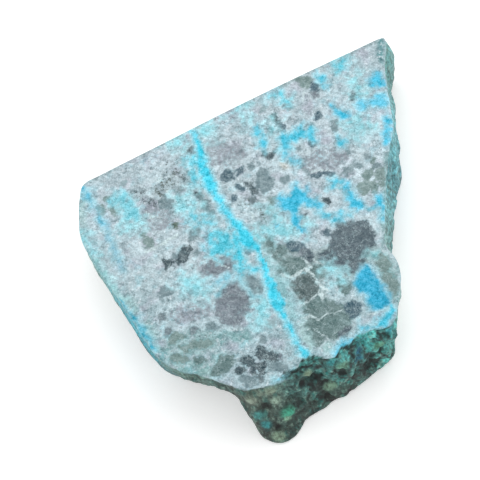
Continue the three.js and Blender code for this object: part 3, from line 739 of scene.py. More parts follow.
# Patches of it: colour, softness, how ragged, outlines.
PATCHES = [
    ("#4CC8DE", 0.6, 0.9, [
        [(-9.3, 16), (-7.9, 16.6), (-7.4, 15), (-7.2, 13.4), (-7, 12), (-6.6, 10.9), (-7.8, 11),
         (-8.4, 12.2), (-8.8, 13.6), (-8.4, 14.6), (-9.2, 15.2)],
        [(-5.4, 2.6), (-4, 2.2), (-2.6, 1.6), (-1.6, 2.2), (-1, 0), (-1, -2), (-2, -2.6), (-3.2, -2.8),
         (-4.6, -3), (-5.6, -2.4), (-5.6, -0.6), (-5, 0.6), (-5.8, 1.4)],
        [(-9.6, 5.6), (-8.4, 6.4), (-7.4, 5), (-6, 4.6), (-4.8, 4), (-4.4, 3.2), (-5.6, 3), (-7, 3.4),
         (-8.4, 3.4)],
        [(16.6, 33.2), (17.6, 33.8), (18.6, 33.4), (18.9, 32.4), (18.6, 31.2), (17.8, 30.4),
         (16.9, 30.4), (16.5, 31.4), (16.8, 32.2)],
        [(4.5, 27.4), (5.2, 28), (6.2, 28.2), (6.8, 27.4), (7.6, 26.6), (8.4, 25.9), (8.6, 25.2),
         (7, 26), (5.6, 27)],
    ]),
    ("#88D4E0", 0.8, 1.0, [
        [(-9.7, -6.4), (-8.8, -6.2), (-7.6, -6.8), (-6.6, -7), (-5.8, -7.8), (-5.2, -8.6), (-6, -9.6),
         (-7.2, -9.4), (-8.2, -8.8), (-9.2, -8.4), (-9.8, -7.4)],
        [(-10.4, 9), (-9.2, 9.4), (-8.2, 8.8), (-7.8, 7.6), (-7.2, 6.4), (-8, 5.6), (-9.6, 5.8),
         (-10.6, 6.8)],
        [(-12.3, 21), (-11, 21), (-10, 20.8), (-9.8, 19.8), (-10.4, 19), (-11.4, 19.2), (-12.2, 19.8)],
        [(-7.6, 22.6), (-6, 22.8), (-5, 21.8), (-4.8, 20.4), (-5.6, 20), (-6.4, 20.8), (-7.2, 21)],
        [(-20, 5.6), (-18.4, 4.6), (-17, 5.4), (-17.4, 4), (-19, 3.8), (-20.2, 4.6)],
        [(-27.6, 3.8), (-26.8, 3.2), (-25.8, 2), (-25, 1), (-24.6, -0.4), (-25.4, -0.6), (-26.6, 1),
         (-27.6, 2.6)],
        [(19.6, 28.6), (20.2, 28.8), (20.4, 27.4), (21, 26.6), (22, 26.4), (22.4, 25.6), (21.6, 25),
         (20.6, 25.2), (19.8, 26), (19.4, 27.2)],
        [(5, 21.4), (6.2, 21), (5.8, 20), (5, 20.2)],
        [(3, -11.8), (4, -11), (4.8, -11.4), (4.6, -12.6), (4, -14), (3.8, -15.6), (3.2, -15.4),
         (2.4, -12.6)],
        [(14.2, -6), (15, -6.4), (16, -7.2), (17.4, -8.2), (17.2, -8.9), (16.2, -8.6), (15, -7.8),
         (14.4, -7)],
        [(5, 4.6), (6, 5), (6.8, 4.4), (7.2, 3.4), (6.8, 2.6), (5.8, 2.6)],
        [(1.8, 1), (3, 1.8), (5, 2.2), (7, 2.6), (9.4, 2.6), (11.6, 2), (11, 0.6), (9, 0.2), (7, 0),
         (5.6, 0.4), (4, -0.2), (2.8, -0.8)],
        [(18, 20.6), (20, 20.8), (22, 20.2), (22.6, 18.8), (21, 18), (19, 18.4)],
        [(-1, 25), (-0.4, 25.6), (0.4, 25.4), (1, 24.8), (1.6, 23.4), (2, 22.2), (1.4, 22.2),
         (0.2, 24.2)],
    ]),
    ("#36BFDC", 0.4, 0.8, [
        [(2.3, 21.3), (3.2, 21.9), (3.8, 20.8), (4, 19.6), (4.8, 18.6), (4.7, 17.6), (4.2, 16.6),
         (3.5, 17.4), (3.1, 18.6), (2.6, 19.8)],
        [(6.9, 18.6), (7.6, 19.6), (8.6, 19.6), (9.4, 19), (9.9, 20), (10.6, 20.8), (11.4, 20.2),
         (12, 20.6), (12.6, 20.2), (13.1, 19.4), (13, 18.2), (12.8, 17), (12.3, 17.4), (11.6, 18.4),
         (10.6, 18), (9.8, 17.8), (9, 17.6), (8.8, 16.6), (8.4, 15.8), (8.6, 14.9), (9.4, 14.4),
         (10.4, 13.6), (10.6, 13.1), (9.6, 13.2), (8.8, 13.6), (8, 14.3), (7.4, 15), (7, 16),
         (7, 17.2)],
        [(13.1, 30), (13.8, 30.6), (14.5, 29.8), (14.8, 28.8), (15.2, 28), (14.6, 27.8), (13.9, 28.2),
         (13.5, 28.9)],
        [(16.3, 17.5), (17.2, 17.6), (18.2, 17.2), (18.6, 16.4), (18.1, 15.8), (17.4, 15.9),
         (16.8, 16.3)],
        [(13, 3.4), (13.6, 2.6), (14.6, 2), (15.8, 1.7), (17, 2), (18.2, 2.2), (18.6, 3), (17.6, 3.2),
         (17, 4), (16.4, 3.2), (15.4, 2.9), (14.4, 3.2), (13.8, 3.9)],
        [(15.4, 9.6), (16.2, 9.6), (17, 9), (17.8, 9.2), (17.6, 8.5), (16.6, 8.4), (15.8, 8),
         (15.1, 8.2)],
        [(20.8, 4), (21.8, 4.2), (22.6, 4.2), (22.2, 3.7), (21.2, 3.5)],
        [(5.6, 2.6), (6.4, 2.6), (7, 2), (6.6, 1.2), (5.6, 1.4)],
        [(19.6, -18.7), (20, -17.8), (20.8, -17.6), (21.4, -18), (22.2, -17.4), (22.8, -16.4),
         (23.6, -15.6), (24.6, -15), (25.3, -14.2), (25.4, -15.6), (25, -17), (24.6, -18),
         (23.4, -18.2), (22, -18.4)],
        [(5.2, -26), (6.4, -25.6), (7.8, -25), (9, -24.4), (8.8, -25), (7.6, -25.8), (6.2, -26.4)],
    ]),
    ("#28BBDE", 0.35, 0.7, [
        [(15.3, 24.3), (16, 24.6), (16.6, 23.8), (17.6, 23.3), (18.4, 22.6), (19.2, 22), (19, 21.2),
         (18.2, 20.8), (17.4, 21), (16.8, 21.8), (16.2, 22.4), (15.9, 23.3)],
        [(6.2, 7.2), (7, 7.6), (7.8, 7), (8.5, 7.4), (8.9, 8.4), (8.8, 9.4), (9.6, 9.4), (10.4, 8.8),
         (11.4, 9), (11.9, 8.2), (11.8, 7.2), (12.4, 6.6), (13.2, 6), (13.8, 5.4), (14.1, 4.6),
         (13.8, 4), (13, 4.4), (12.2, 4.8), (11.4, 5.2), (10.6, 5), (10, 4.2), (10.2, 3.2), (10.4, 2.2),
         (11, 1.6), (11.6, 1.2), (11.4, 0.4), (10.4, 0.2), (9.6, 0.8), (8.8, 1.4), (8.4, 2.4),
         (8.4, 3.4), (8, 4.2), (7.2, 4.8), (6.4, 5.6)],
        [(18.2, 9), (18.8, 9), (19, 7.6), (19.8, 6.6), (20.4, 5.8), (20.8, 4.8), (20.6, 3.8),
         (19.8, 3.6), (18.8, 4), (18.4, 5), (18, 6), (17.8, 7.2), (18, 8.2)],
        [(23, 5.8), (23.8, 6.2), (24.4, 5), (24.6, 3.6), (24.5, 2.2), (24.6, 1.2), (24, 1.2),
         (23.7, 2.4), (23.3, 3.6), (22.8, 4.4)],
        [(24.6, 20.6), (25.4, 21), (26.1, 20.4), (26.2, 19), (26, 17.6), (25.8, 16.4), (25.4, 15.2),
         (24.6, 15.4), (24.3, 16.6), (24.6, 17.6), (24.9, 18.8)],
        [(22.3, 29), (23, 29.6), (24, 29.8), (24.8, 29), (25, 27.8), (25, 26.6), (24.2, 26.6),
         (23.4, 26.9), (22.6, 27.2), (22.5, 28)],
        [(15.4, -21.9), (15.8, -21), (16.4, -20.2), (17.2, -19.5), (18, -19.4), (18.6, -20),
         (18, -20.9), (17.4, -21.6), (16.4, -22.4), (15.6, -22.6)],
    ]),
    ("#5CCCEC", 0.4, 0.6, [
        [(20.2, 24.6), (21.2, 25), (22.2, 24.4), (23, 24.8), (23.8, 25.4), (24.8, 25), (25.4, 24),
         (25.5, 22.9), (24.6, 22.4), (22.8, 23), (21.2, 22.5), (20.6, 23.2), (20.1, 23.8)],
    ]),
    ("#74CCDC", 0.5, 0.8, [
        [(-22, 10.8), (-20.8, 11), (-19.6, 10.6), (-18.8, 9.6), (-18.2, 8.4), (-17.2, 7.2), (-17, 6),
         (-17.8, 5.2), (-18.8, 5), (-19.6, 5.6), (-20.4, 6.4), (-20.8, 7.4), (-21.6, 8.6),
         (-22.4, 9.6)],
    ]),
    # the densest, deepest blue
    ("#00A9D0", 0.3, 0.35, [
        [(18.7, -9.6), (19.1, -8.4), (19.7, -7.8), (20.2, -6.7), (21, -6), (21.9, -6.8), (22.4, -7.9),
         (23, -9.1), (23.7, -10.1), (24, -11.3), (24.6, -12.1), (24.9, -13.3), (24.2, -14.5),
         (22.8, -14.7), (21.6, -14.4), (20.9, -13.4), (20.7, -12.4), (20.1, -11.5), (19.3, -10.8)],
    ]),
    ("#63AEB4", 0.4, 0.8, [[
        (20.6, -5), (21.6, -5.4), (22.6, -5.2), (23, -4.4), (22, -4.2), (20.8, -4.4)]]),
]

# Thin pale seams of quartz that run between the grains: points along each with its half-width.
SEAMS = [
    [(-16.2, -0.8, 0.2), (-15.2, -0.4, 0.3), (-14.3, 0.2, 0.25), (-13, 0.7, 0.35), (-11.8, 1.4, 0.25),
     (-10.8, 1.8, 0.3)],
    [(-14.8, 13.2, 0.12), (-14.2, 12.6, 0.15), (-13.2, 13.4, 0.12), (-12, 13.2, 0.15), (-11, 13, 0.12)],
    [(-12.8, 10.6, 0.15), (-12.2, 9.6, 0.15), (-11.2, 9.2, 0.15), (-10.8, 8, 0.12)],
    [(-16, 6.6, 0.15), (-15, 5.6, 0.2), (-13.6, 5.4, 0.12)],
    [(2.4, 3.6, 0.15), (1.8, 4.6, 0.12), (0.4, 5, 0.12)],
    [(3.6, -1, 0.2), (4, -3, 0.2), (4.4, -5.6, 0.2), (4.8, -7, 0.15)],
    [(12, 11.6, 0.12), (13.6, 11.8, 0.15), (15.6, 11.4, 0.12)],
    [(10.8, -6.2, 0.22), (12, -7.4, 0.22), (13, -8.8, 0.22), (13.8, -10, 0.22), (14.8, -11, 0.2)],
    [(10.2, -4.2, 0.18), (11.2, -5.2, 0.2), (12, -6, 0.18)],
    [(12.2, -4.6, 0.18), (13.2, -5.6, 0.2), (14.4, -6.2, 0.18)],
    [(10.2, -12.8, 0.15), (11.4, -12.1, 0.15), (12.6, -11.2, 0.15), (13.4, -10.4, 0.15)],
    [(13, -10.9, 0.2), (13.6, -11.4, 0.5), (13.6, -12, 0.35)],
    [(10, -14.9, 0.15), (11.6, -15, 0.15), (12.8, -15.5, 0.15), (14, -15.1, 0.15), (15.4, -14.6, 0.15),
     (17, -14.2, 0.15)],
    [(11.3, -17.2, 0.15), (12.6, -17.7, 0.15), (13.8, -18.5, 0.15), (14.6, -19.4, 0.18)],
    [(7, -7.2, 0.25), (8.4, -7.6, 0.28), (9.8, -7.2, 0.25), (10.6, -6.6, 0.25)],
    [(11.3, 28, 0.15), (11, 25.5, 0.12)],
    [(21.5, -15.5, 0.15), (23.4, -14.6, 0.18), (25.5, -13.6, 0.18)],
    [(-5.2, -3.2, 0.12), (-3, -4.4, 0.14), (-1.2, -5, 0.12)],
]

# The kinds of crust on the natural sides: a place on the rim, then its colour near the top and near the foot.
CRUST = [
    (-27, 4, "#84B2B2", "#66827E"),  # the left side, thin and pale
    (-17, -15, "#2BA6BA", "#236C76"),  # chrysocolla, where a vein comes out
    (-9, -23, "#5C7A72", "#303C38"),  # the hollow below it
    (2, -27, "#48584E", "#303A34"),  # the spur, nearly black
    (13, -24, "#3E7A76", "#364E46"),  # the broken front, dark green
    (22, -19, "#48A8A4", "#4A9088"),  # malachite green
    (26, -9, "#9CBCBA", "#7A9C96"),  # the lobe, dusty
    (25, 13, "#74BAC4", "#54929A"),  # the right side, blue-green
    (25, 34, "#6CA4A4", "#5C8A86"),  # the last of it, by the saw cut
]

WANDER = 0.32  # how far, in millimetres, an outline wanders from the line drawn here
STRAY = 3.0  # and how far it strays deep down, so that a grain has an end below as well
GRAIN_SOFTNESS = 0.3  # how softly a grain ends
SEAM_SOFTNESS = 0.15  # and a seam
LAP = 0.45  # how far the crust laps over the top edge on average, where the side is badly broken
BADLY_BROKEN = (0.75, 0.95)  # breakage between which it starts to
LEVEL_LIMIT = 4  # a depth is kept only this far either side of an outline, in units of its softness


def depth_inside(spots, outline):
    """How far each spot is inside a closed outline: the least distance to its sides, positive where a ray
    from the spot crosses the outline an odd number of times and negative elsewhere."""
    start = np.array(outline, float)
    side = np.roll(start, -1, axis=0) - start
    away = spots[:, None] - start
    t = np.clip((away * side).sum(axis=2) / (side**2).sum(axis=1), 0, 1)
    gap = np.linalg.norm(away - t[..., None] * side, axis=2).min(axis=1)
    above = spots[:, 1:] < start[:, 1]
    crossed = above != np.roll(above, -1, axis=1)
    reach = start[:, 0] + (spots[:, 1:] - start[:, 1]) * side[:, 0] / np.where(side[:, 1], side[:, 1], 1)
    odd = (crossed & (spots[:, :1] < reach)).sum(axis=1) % 2 == 1
    return np.where(odd, gap, -gap)


def depth_along(spots, stroke):
    """How far each spot is inside a stroke: the half-width there less the distance to its line."""
    rows = np.array(stroke, float)
    start, side = rows[:-1], np.diff(rows, axis=0)
    away = spots[:, None] - start[:, :2]
    t = np.clip((away * side[:, :2]).sum(axis=2) / (side[:, :2] ** 2).sum(axis=1), 0, 1)
    gap = np.linalg.norm(away - t[..., None] * side[:, :2], axis=2)
    return (start[:, 2] + t * side[:, 2] - gap).max(axis=1)


def round_spot(x, y, radius):
    """A round spot, as a stroke of next to no length."""
    return [(x, y, radius), (x + 0.01, y, radius)]


class Layer:
    """One kind of marking over the whole slab: at each point, how deep it lies inside the nearest marking,
    in units of that marking's softness, and the marking's colour."""

    def __init__(self, spots):
        self.spots = spots
        self.depth = np.full(len(spots), -float(LEVEL_LIMIT))
        self.colour = np.ones((len(spots), 3)) * 0.5
        self.cover = np.ones(len(spots))

    def add(self, shape, measure, softness, colour, cover=1.0):
        """Adds one marking, measuring only the points near it. Its cover goes with it."""
        rows = np.array(shape, float)
        reach = softness * LEVEL_LIMIT + (rows[:, 2:].max() if rows.shape[1] > 2 else 0)
        low, high = rows[:, :2].min(axis=0) - reach, rows[:, :2].max(axis=0) + reach
        near = np.flatnonzero(((self.spots > low) & (self.spots < high)).all(axis=1))
        if not len(near):
            return
        depth = measure(self.spots[near], shape) / softness
        deeper = depth > self.depth[near]
        chosen = near[deeper]
        self.depth[chosen] = np.minimum(depth[deeper], LEVEL_LIMIT)
        self.colour[chosen] = linear(colour)
        self.cover[chosen] = cover


def blended(spots, rows, sharpness):
    """The rows' colours blended by distance: each weighs one over its distance to the given power. The 0.3
    keeps a row's own place from outweighing all the rest."""
    centres = np.array([row[:2] for row in rows], float)
    colours = np.array([[linear(value) for value in row[2:]] for row in rows])
    gap = np.linalg.norm(spots[:, None] - centres, axis=2) + 0.3
    weight = gap**-sharpness
    weight /= weight.sum(axis=1)[:, None]
    return np.einsum("ij,jkl->ikl", weight, colours)


def drift(points, size, seed):
    """A share from 0 to 1 that changes slowly from place to place: smooth noise of one size with half as
    much of a finer one, eased."""
    return ease(cloud(points, size, seed) + 0.5 * cloud(points, size / 2.5, seed + 1), -0.7, 0.7)


def tint(colours, hex_colour, share):
    """Mixes a colour into the others in place, by each point's share."""
    colours += share[:, None] * (linear(hex_colour) - colours)


def add_attribute(name, values):
    """Stores one number, or one colour, for each point of the slab."""
    kind, field = ("FLOAT", "value") if values.ndim == 1 else ("FLOAT_COLOR", "color")
    if values.ndim == 2:
        values = np.column_stack([values, np.ones(len(values))])
    made = slab_data.attributes.new(name, kind, "POINT")
    made.data.foreach_set(field, np.ascontiguousarray(values, dtype=np.float32).ravel())


down = (thickness - points[:, 2])[:, None]
wander = np.stack([
    cloud(points, 1.2, seed) + 0.5 * cloud(points, 0.5, seed + 5) for seed in (41, 42)
], axis=1)
stray = np.stack([cloud(points, 4.0, seed) for seed in (71, 72)], axis=1) * ease(down, 0.3, 6)
spots = points[:, :2] + DIP * down + WANDER * wander + STRAY * stray

grains = Layer(spots)
for colour, cover, outlines in GRAINS:
    for outline in outlines:
        grains.add(outline, depth_inside, GRAIN_SOFTNESS, colour, cover)
for x, y, radius, colour in SPOTS:
    grains.add(round_spot(x, y, radius), depth_along, GRAIN_SOFTNESS, colour)

blue = Layer(spots)
for colour, softness, spread, outlines in PATCHES:
    for outline in outlines:
        blue.add(outline, depth_inside, softness, colour, spread)
for colour, softness, spread, stroke in VEINS:
    blue.add(stroke, depth_along, softness, colour, spread)

seams = Layer(spots)
for seam in SEAMS:
    seams.add(seam, depth_along, SEAM_SOFTNESS, "#FFFFFF")

ground = np.tile(linear(FELDSPAR), (len(spots), 1))
for colour, share in (
    (QUARTZ, 0.7 * drift(points, 7.0, 91)),
    (WEATHERED, 0.6 * drift(points, 9.0, 94)),
    (SPUR_STAINED, 0.6 * ease(-spots[:, 1], 3, 18)),
    (COPPER_STAINED, 0.35 * ease(blue.depth, -LEVEL_LIMIT, 0)),
):
    tint(ground, colour, share)
for colour, stains in STAINS:
    for softness, strength, outline in stains:
        tint(ground, colour, strength * ease(depth_inside(spots, outline) / softness, -1, 1))

peppered = np.zeros(len(spots))
for x, y, half_x, half_y, thickly in PEPPERED:
    away = ((spots[:, 0] - x) / half_x) ** 2 + ((spots[:, 1] - y) / half_y) ** 2
    peppered = np.maximum(peppered, thickly * np.exp(-away))

# The crust: how far each point is covered, its colour from near the top to near the foot, and its tone from
# the nodule it belongs to, with painted shade that darkens the clefts and pits. At the broken front right it
# laps ragged over the top edge.
face_end = (ACROSS + 1) * (ALONG + 1)
side_end = face_end + DOWN * len(columns)
rim_away = np.linalg.norm(points[:face_end, None, :2] - RIM[:, :2], axis=2)
broken = np.zeros(len(points))
broken[:face_end] = RIM[rim_away.argmin(axis=1), 5]
broken[face_end:side_end] = np.tile(columns[:, 5], DOWN)
inside = depth_inside(points[:face_end, :2], RIM[:, :2])
lap = LAP - inside + 0.8 * cloud(points[:face_end], 1.5, 61) + 0.5 * cloud(points[:face_end], 0.6, 62)
side_down = down[face_end:side_end, 0] / thickness
crust = np.zeros(len(points))
crust[:face_end] = ease(broken[:face_end], *BADLY_BROKEN) * ease(lap, -0.15, 0.2)
side_broken = broken[face_end:side_end]
below_edge = np.maximum(ease(side_down, 0.0, 0.05), ease(side_broken, *BADLY_BROKEN))
crust[face_end:side_end] = ease(side_broken, 0.03, 0.15) * below_edge
crusted = np.flatnonzero(crust > 0)
sunk = ease(down[crusted] / thickness, 0.1, 0.8)
strayed = [cloud(points[crusted], 4.5, seed) for seed in (81, 82)]
levels = blended(points[crusted, :2] + (0.8 + 3 * sunk) * np.stack(strayed, axis=1), CRUST, 2.5)
crust_colour = levels[:, 0] + sunk * (levels[:, 1] - levels[:, 0])
push, cleft, tone = roughness_of_break(points[crusted])
knob = np.zeros(len(points))
crust_tone_and_cleft_shade = np.ones(len(points))
# Each knob and hollow tints the crust with its own colour, which in a hollow is painted shade, and mostly
# lifts the painted shade of the clefts there.
for x, y, z, radius, height, colour in KNOBS:
    share = np.exp(-(((points[crusted] - (x, y, z)) ** 2).sum(axis=1) / radius**2) ** 2)
    tint(crust_colour, colour, share)
    knob[crusted] = np.maximum(knob[crusted], share)
    tone += share * (0.5 - tone)
    cleft -= share * cleft * 0.8
# The tone is the nodule's own random tone plus painted shade in the clefts and pits. It is strongest where
# the side is most broken, and also lower down on the natural sides.
tone_share = np.maximum(broken[crusted] ** 4, 0.45 * sunk[:, 0] * ease(broken[crusted], *SAWN_TO_NATURAL))
crust_tone_and_cleft_shade[crusted] = np.clip(1 + tone_share * (1.8 * (tone - 0.5) - 1.05 * cleft), 0.08, 2.0)
ground[crusted] += crust[crusted, None] * (crust_colour - ground[crusted])

# What each point of the slab tells the shader.
traits = {
    "ground": ground,
    "grain_depth": grains.depth,
    "grain_colour": grains.colour,
    "grain_cover": grains.cover,
    "blue_depth": blue.depth,
    "blue_colour": blue.colour,
    "blue_spread": blue.cover,
    "seam_depth": seams.depth,
    "peppered": peppered,
    "crust": crust,
    "crust_tone_and_cleft_shade": crust_tone_and_cleft_shade,
    "knob": knob,
    "broken": broken,
}
for name, values in traits.items():
    add_attribute(name, values)


# THE STONE'S FINISH. Chrysocolla-bearing rock, sawn with a diamond blade and left unpolished: a dull, finely
# granular face with faint saw marks, and a rough, slightly waxy crust on the natural sides.
stone = bpy.data.materials.new("sawn_chrysocolla_rock")
stone.use_nodes = True
stone.node_tree.nodes.clear()


def node(kind, *inputs, **named):
    """Adds a shader node. Plain inputs go in by their order and capitalised names by their name, each as a
    value or as the node or output that feeds it. The other names are the node's settings."""
    made = stone.node_tree.nodes.new("ShaderNode" + kind)
    fed = dict(enumerate(inputs))
    for name, value in named.items():
        if name[0].isupper():
            fed[name.replace("_", " ")] = value
        else:
            setattr(made, name, value)
    for name, value in fed.items():
        if isinstance(value, bpy.types.Node):
            value = value.outputs[0]
        if isinstance(value, bpy.types.NodeSocket):
            stone.node_tree.links.new(value, made.inputs[name])
        else:
            made.inputs[name].default_value = value
    return made


def paint(hex_colour):
    """A hex colour as a shader's linear red, green, blue and alpha."""
    return (*linear(hex_colour), 1.0)


def build_up(start, *swings):
    """A start value plus each pattern, which runs from 0 to 1 and adds from -amount/2 to amount/2."""
    level = start
    for pattern, amount in swings:
        level = node("Math", pattern, amount, level, operation="MULTIPLY_ADD")
    return node("Math", level, sum(amount for _, amount in swings) / 2, operation="SUBTRACT")


def ramp(value, low, high, start=0.0, end=1.0):
    """The curve 3t^2 - 2t^3 from start, at low and under, to end, at high and over."""
    return node("MapRange", value, low, high, start, end, interpolation_type="SMOOTHSTEP")


place = node("TexCoord").outputs["Object"]
millimetres = node("VectorMath", place, Scale=1000, operation="SCALE")
own = {}
for name, values in traits.items():
    output = "Color" if values.ndim == 2 else "Fac"
    own[name] = node("Attribute", attribute_name=name, attribute_type="GEOMETRY").outputs[output]

# Rough patterns shared by the minerals, each by the size in millimetres of its largest features. Colours
# change more slowly than light and dark do, so they follow smooth patterns of their own.
soft = {}
for size in (0.3, 0.6, 0.8, 1.1, 1.5, 2.2):
    soft[size] = node("TexNoise", millimetres, Scale=1 / size, Detail=5, Roughness=0.72)
smooth = {}
for size in (1.2, 2.2, 3.4):
    smooth[size] = node("TexNoise", millimetres, Scale=1 / size, Detail=1.5, Roughness=0.55)

# The matrix is sugary quartz and feldspar, in ragged crystals of 0.4 mm and of 1 mm. Real ones reach down to
# a tenth of that, which is too fine to show.
bend = node("TexNoise", millimetres, Scale=2.2, Detail=3, Roughness=0.7).outputs["Color"]
bent = node("MixRGB", 0.42, millimetres, bend, blend_type="LINEAR_LIGHT")
fine, coarse = (
    node("SeparateColor", node("TexVoronoi", bent, Scale=1 / size).outputs["Color"]).outputs
    for size in (0.4, 1.0)
)
# lavender-grey and greenish-blue drifts over a few millimetres
matrix = node("MixRGB", ramp(smooth[3.4], 0.5, 0.7, 0, 0.55), own["ground"], paint("#AFB0C0"))
matrix = node("MixRGB", ramp(smooth[2.2], 0.52, 0.75, 0, 0.45), matrix, paint("#8FCCD8"))
# white flecks of quartz and grey ones of feldspar
fleck = build_up(soft[0.8], (fine[2], 0.08))
matrix = node("MixRGB", ramp(fleck, 0.55, 0.68, 0, 0.7), matrix, paint("#D8E4EA"))
matrix = node("MixRGB", ramp(soft[1.1], 0.36, 0.48, 0.5, 0), matrix, paint("#849CA4"))
# specks of dark mineral under a millimetre across, thick in some places and few in others
speck = build_up(soft[0.6], (fine[1], 0.2), (coarse[1], 0.1))
speck = node("Math", own["peppered"], 0.16, speck, operation="MULTIPLY_ADD")
matrix = node("MixRGB", ramp(speck, 0.68, 0.76, 0, 0.8), matrix, paint("#5A6B72"))

# Dark grains: angular, their edges eaten into by the matrix, mottled inside and cut by hairline cracks.
grain_level = build_up(own["grain_depth"], (soft[0.8], 7.0), (soft[0.3], 2.0), (fine[0], 0.6))
patchy = ramp(node("Math", soft[0.6], own["grain_cover"]), 0.96, 1.03)
grain_share = node("Math", ramp(grain_level, -1.5, -0.2), patchy, operation="MULTIPLY")
grain_colour = own["grain_colour"]
dust = build_up(soft[0.8], (fine[1], 0.06))
grain_colour = node("MixRGB", ramp(dust, 0.52, 0.72, 0, 0.45), grain_colour, paint("#8CA9AE"))
crack = node("Math", soft[2.2], 0.5, 0.01, operation="COMPARE")
crack = node("Math", crack, ramp(soft[1.5], 0.42, 0.52, 0.1, 0.6), operation="MULTIPLY")
grain_colour = node("MixRGB", crack, grain_colour, paint("#B4CACE"))
near_grain = ramp(grain_level, -4.2, -2.4)
rim_share = node("Math", near_grain, ramp(grain_level, -2.4, -0.8, 0.25, 0), operation="MULTIPLY")
matrix = node("MixRGB", rim_share, matrix, paint("#D3E1E6"))
face = node("MixRGB", node("Math", grain_share, 0.94, operation="MULTIPLY"), matrix, grain_colour)

# Thin pale seams.
seam_level = build_up(own["seam_depth"], (soft[0.6], 4.0))
face = node("MixRGB", ramp(seam_level, -0.9, 0.9, 0, 0.85), face, paint("#C6DBDE"))

# Chrysocolla: it thins out into the rock as a pale wash and specks, and is deep where it is thick. In a vein
# it lies in streaks along the crack.
along_vein = node("Mapping", millimetres, Rotation=(0, 0, math.radians(67)))
streaks = node("VectorMath", along_vein, (0.22, 1.0, 0.5), operation="MULTIPLY")
streaks = node("TexNoise", streaks, Scale=1 / 0.5, Detail=4, Roughness=0.65)
ragged = build_up(0.0, (smooth[1.2], 8.0), (smooth[2.2], 3.0), (soft[1.1], 1.5))
blue_level = node("Math", ragged, own["blue_spread"], own["blue_depth"], operation="MULTIPLY_ADD")
blue_share = ramp(blue_level, -3.0, 1.8, 0, 0.95)
strength = build_up(own["blue_depth"], (smooth[1.2], 7.0), (streaks, 4.0))
pale_blue = node("MixRGB", 0.6, own["blue_colour"], paint("#C0EDF3"))
blue_colour = node("MixRGB", ramp(strength, -2.0, 3.0), pale_blue, own["blue_colour"])
face = node("MixRGB", blue_share, face, blue_colour)

# Facets and dust lighten and darken every mineral alike, so this fine texture is grey: the grains' and dust's
# own light and dark, and painted glints and shade on the crystal facets. Raising each colour first gives dark
# minerals their share of it: (colour + RAISED) x texture - RAISED.
RAISED = 0.28
grit_and_facet_shading = build_up(0.0, (fine[0], 0.3), (coarse[0], 0.2), (soft[1.1], 0.7), (soft[0.6], 0.8), (soft[0.3], 0.9))
contrast = node("Math", own["peppered"], 0.4, 0.68, operation="MULTIPLY_ADD")
contrast = node("Math", contrast, ramp(grain_share, 0, 1, 1, 0.65), operation="MULTIPLY")
grit_and_facet_shading = node("Math", grit_and_facet_shading, contrast, 1.0, operation="MULTIPLY_ADD")
lift = node("Math", grit_and_facet_shading, RAISED, -RAISED, operation="MULTIPLY_ADD")
face = node("VectorMath", face, grit_and_facet_shading, lift, operation="MULTIPLY_ADD")

# Saw marks, about half a millimetre apart, running down to the right.
turned = node("Mapping", millimetres, Rotation=(0, 0, math.radians(22)))
lengthways = node("VectorMath", turned, (0.05, 1.0, 1.0), operation="MULTIPLY")
saw_marks = node("TexNoise", lengthways, Scale=1 / 0.45, Detail=2, Roughness=0.6)
face = node("MixRGB", 1.0, face, ramp(saw_marks, 0.3, 0.7, 0.92, 1.08), blend_type="MULTIPLY")

# The crust: lumps of dark green and teal with dusty pale patches. It is made lighter where its bump stands
# out and nearly black in the bump's hollows: painted light and shade.
drawn_down = node("VectorMath", millimetres, DRAWN_DOWN.tolist(), operation="MULTIPLY")
lump = {}
for size in (0.5, 0.9, 1.6):
    lump[size] = node("TexNoise", drawn_down, Scale=1 / size, Detail=4, Roughness=0.62)
teal_share = node("Math", ramp(lump[1.6], 0.5, 0.66, 0, 0.55), own["broken"], operation="MULTIPLY")
crusted = node("MixRGB", teal_share, own["ground"], paint("#107A74"))
crusted = node("MixRGB", ramp(lump[0.9], 0.5, 0.7, 0, 0.5), crusted, paint("#8FAE9F"))
# Knobs and hollows keep their own colours from the mesh; in the hollows these are painted shade.
crusted = node("MixRGB", own["knob"], crusted, own["ground"])
# Painted light and shade: the noise that raises the crust's bump also makes its colour lighter where it rises
# and darker where it sinks.
crusted = node("MixRGB", 1.0, crusted, ramp(lump[0.5], 0.3, 0.7, 0.45, 1.5), blend_type="MULTIPLY")
# The crust's tone, with its painted shade in the clefts and pits.
crusted = node("MixRGB", 1.0, crusted, own["crust_tone_and_cleft_shade"], blend_type="MULTIPLY")
colour = node("MixRGB", own["crust"], face, crusted)

sawn_height = build_up(0.0, (saw_marks, 0.5), (soft[0.3], 0.8))
crust_height = node("Math", lump[0.5], 4.0, operation="MULTIPLY")
height = node("MapRange", own["crust"], 0, 1, sawn_height, crust_height)
bump = node("Bump", Height=height, Strength=0.45, Distance=0.0001)
dull = ramp(soft[0.8], 0.3, 0.7, 0.5, 0.66)
shader = node("BsdfPrincipled", colour, Roughness=dull, Normal=bump, IOR=1.54, Specular_IOR_Level=0.3)
node("OutputMaterial", shader)
slab_data.materials.append(stone)


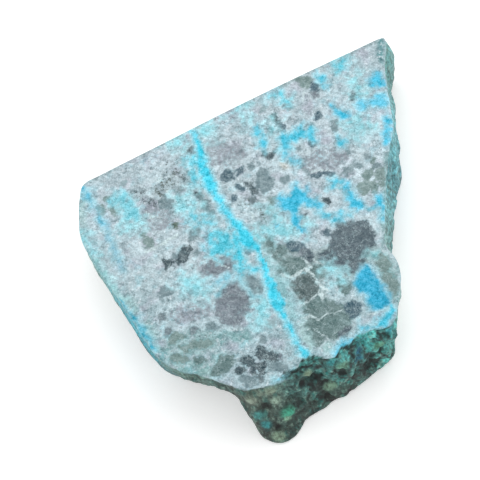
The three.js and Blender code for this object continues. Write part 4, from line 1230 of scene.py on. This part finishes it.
# THE STAND FOR IT. A plain pale floor that glows a little, soft light from above and behind, and a camera
# that looks down on the stone from near its front.
board = bpy.data.materials.new("white_light_table")
board.use_nodes = True
board_shader = board.node_tree.nodes["Principled BSDF"].inputs
board_shader["Base Color"].default_value = paint("#FAFAFA")
board_shader["Roughness"].default_value = 0.9
board_shader["Specular IOR Level"].default_value = 0.1
board_shader["Emission Color"].default_value = (1, 1, 1, 1)
board_shader["Emission Strength"].default_value = 0.32
bpy.ops.mesh.primitive_plane_add(size=6)
floor = bpy.context.object
floor.name = "floor"
floor.data.materials.append(board)

world = bpy.data.worlds.new("studio")
world.use_nodes = True
world.node_tree.nodes["Background"].inputs["Color"].default_value = (1, 1, 1, 1)
world.node_tree.nodes["Background"].inputs["Strength"].default_value = 0.82
bpy.context.scene.world = world


def add_light(name, place, size, power):
    """A square soft light that faces the middle of the slab."""
    lamp = bpy.data.lights.new(name, "AREA")
    lamp.size = size
    lamp.energy = power
    made = bpy.data.objects.new(name, lamp)
    made.location = place
    made.rotation_euler = (-Vector(place)).to_track_quat("-Z", "Y").to_euler()
    bpy.context.collection.objects.link(made)


add_light("soft_box", (0.12, 0.28, 0.55), 0.5, 0.9)
add_light("fill_box", (-0.45, -0.2, 0.5), 0.6, 0.1)

TURN = math.radians(22)  # the camera stands this far round to the right of the front
RISE = math.radians(62)  # and this far above the level
ROLL = math.radians(24.588)  # its picture turned so that the slab's own length runs upright
DISTANCE = 0.380  # metres from the point it looks at
LOOK_AT = Vector((0.000775, -0.002439, 0.0135))
back = Vector((math.sin(TURN) * math.cos(RISE), -math.cos(TURN) * math.cos(RISE), math.sin(RISE)))
level = Vector((math.cos(TURN), math.sin(TURN), 0))
upright = back.cross(level)
right = level * math.cos(ROLL) - upright * math.sin(ROLL)
up = level * math.sin(ROLL) + upright * math.cos(ROLL)
camera = bpy.data.objects.new("camera", bpy.data.cameras.new("camera"))
camera.data.lens = 171
camera.data.sensor_width = 36
camera.data.clip_start = 0.01
axes = Matrix((right, up, back)).transposed().to_4x4()
camera.matrix_world = Matrix.Translation(LOOK_AT + back * DISTANCE) @ axes
bpy.context.collection.objects.link(camera)
bpy.context.scene.camera = camera
bpy.context.scene.view_settings.view_transform = "Standard"
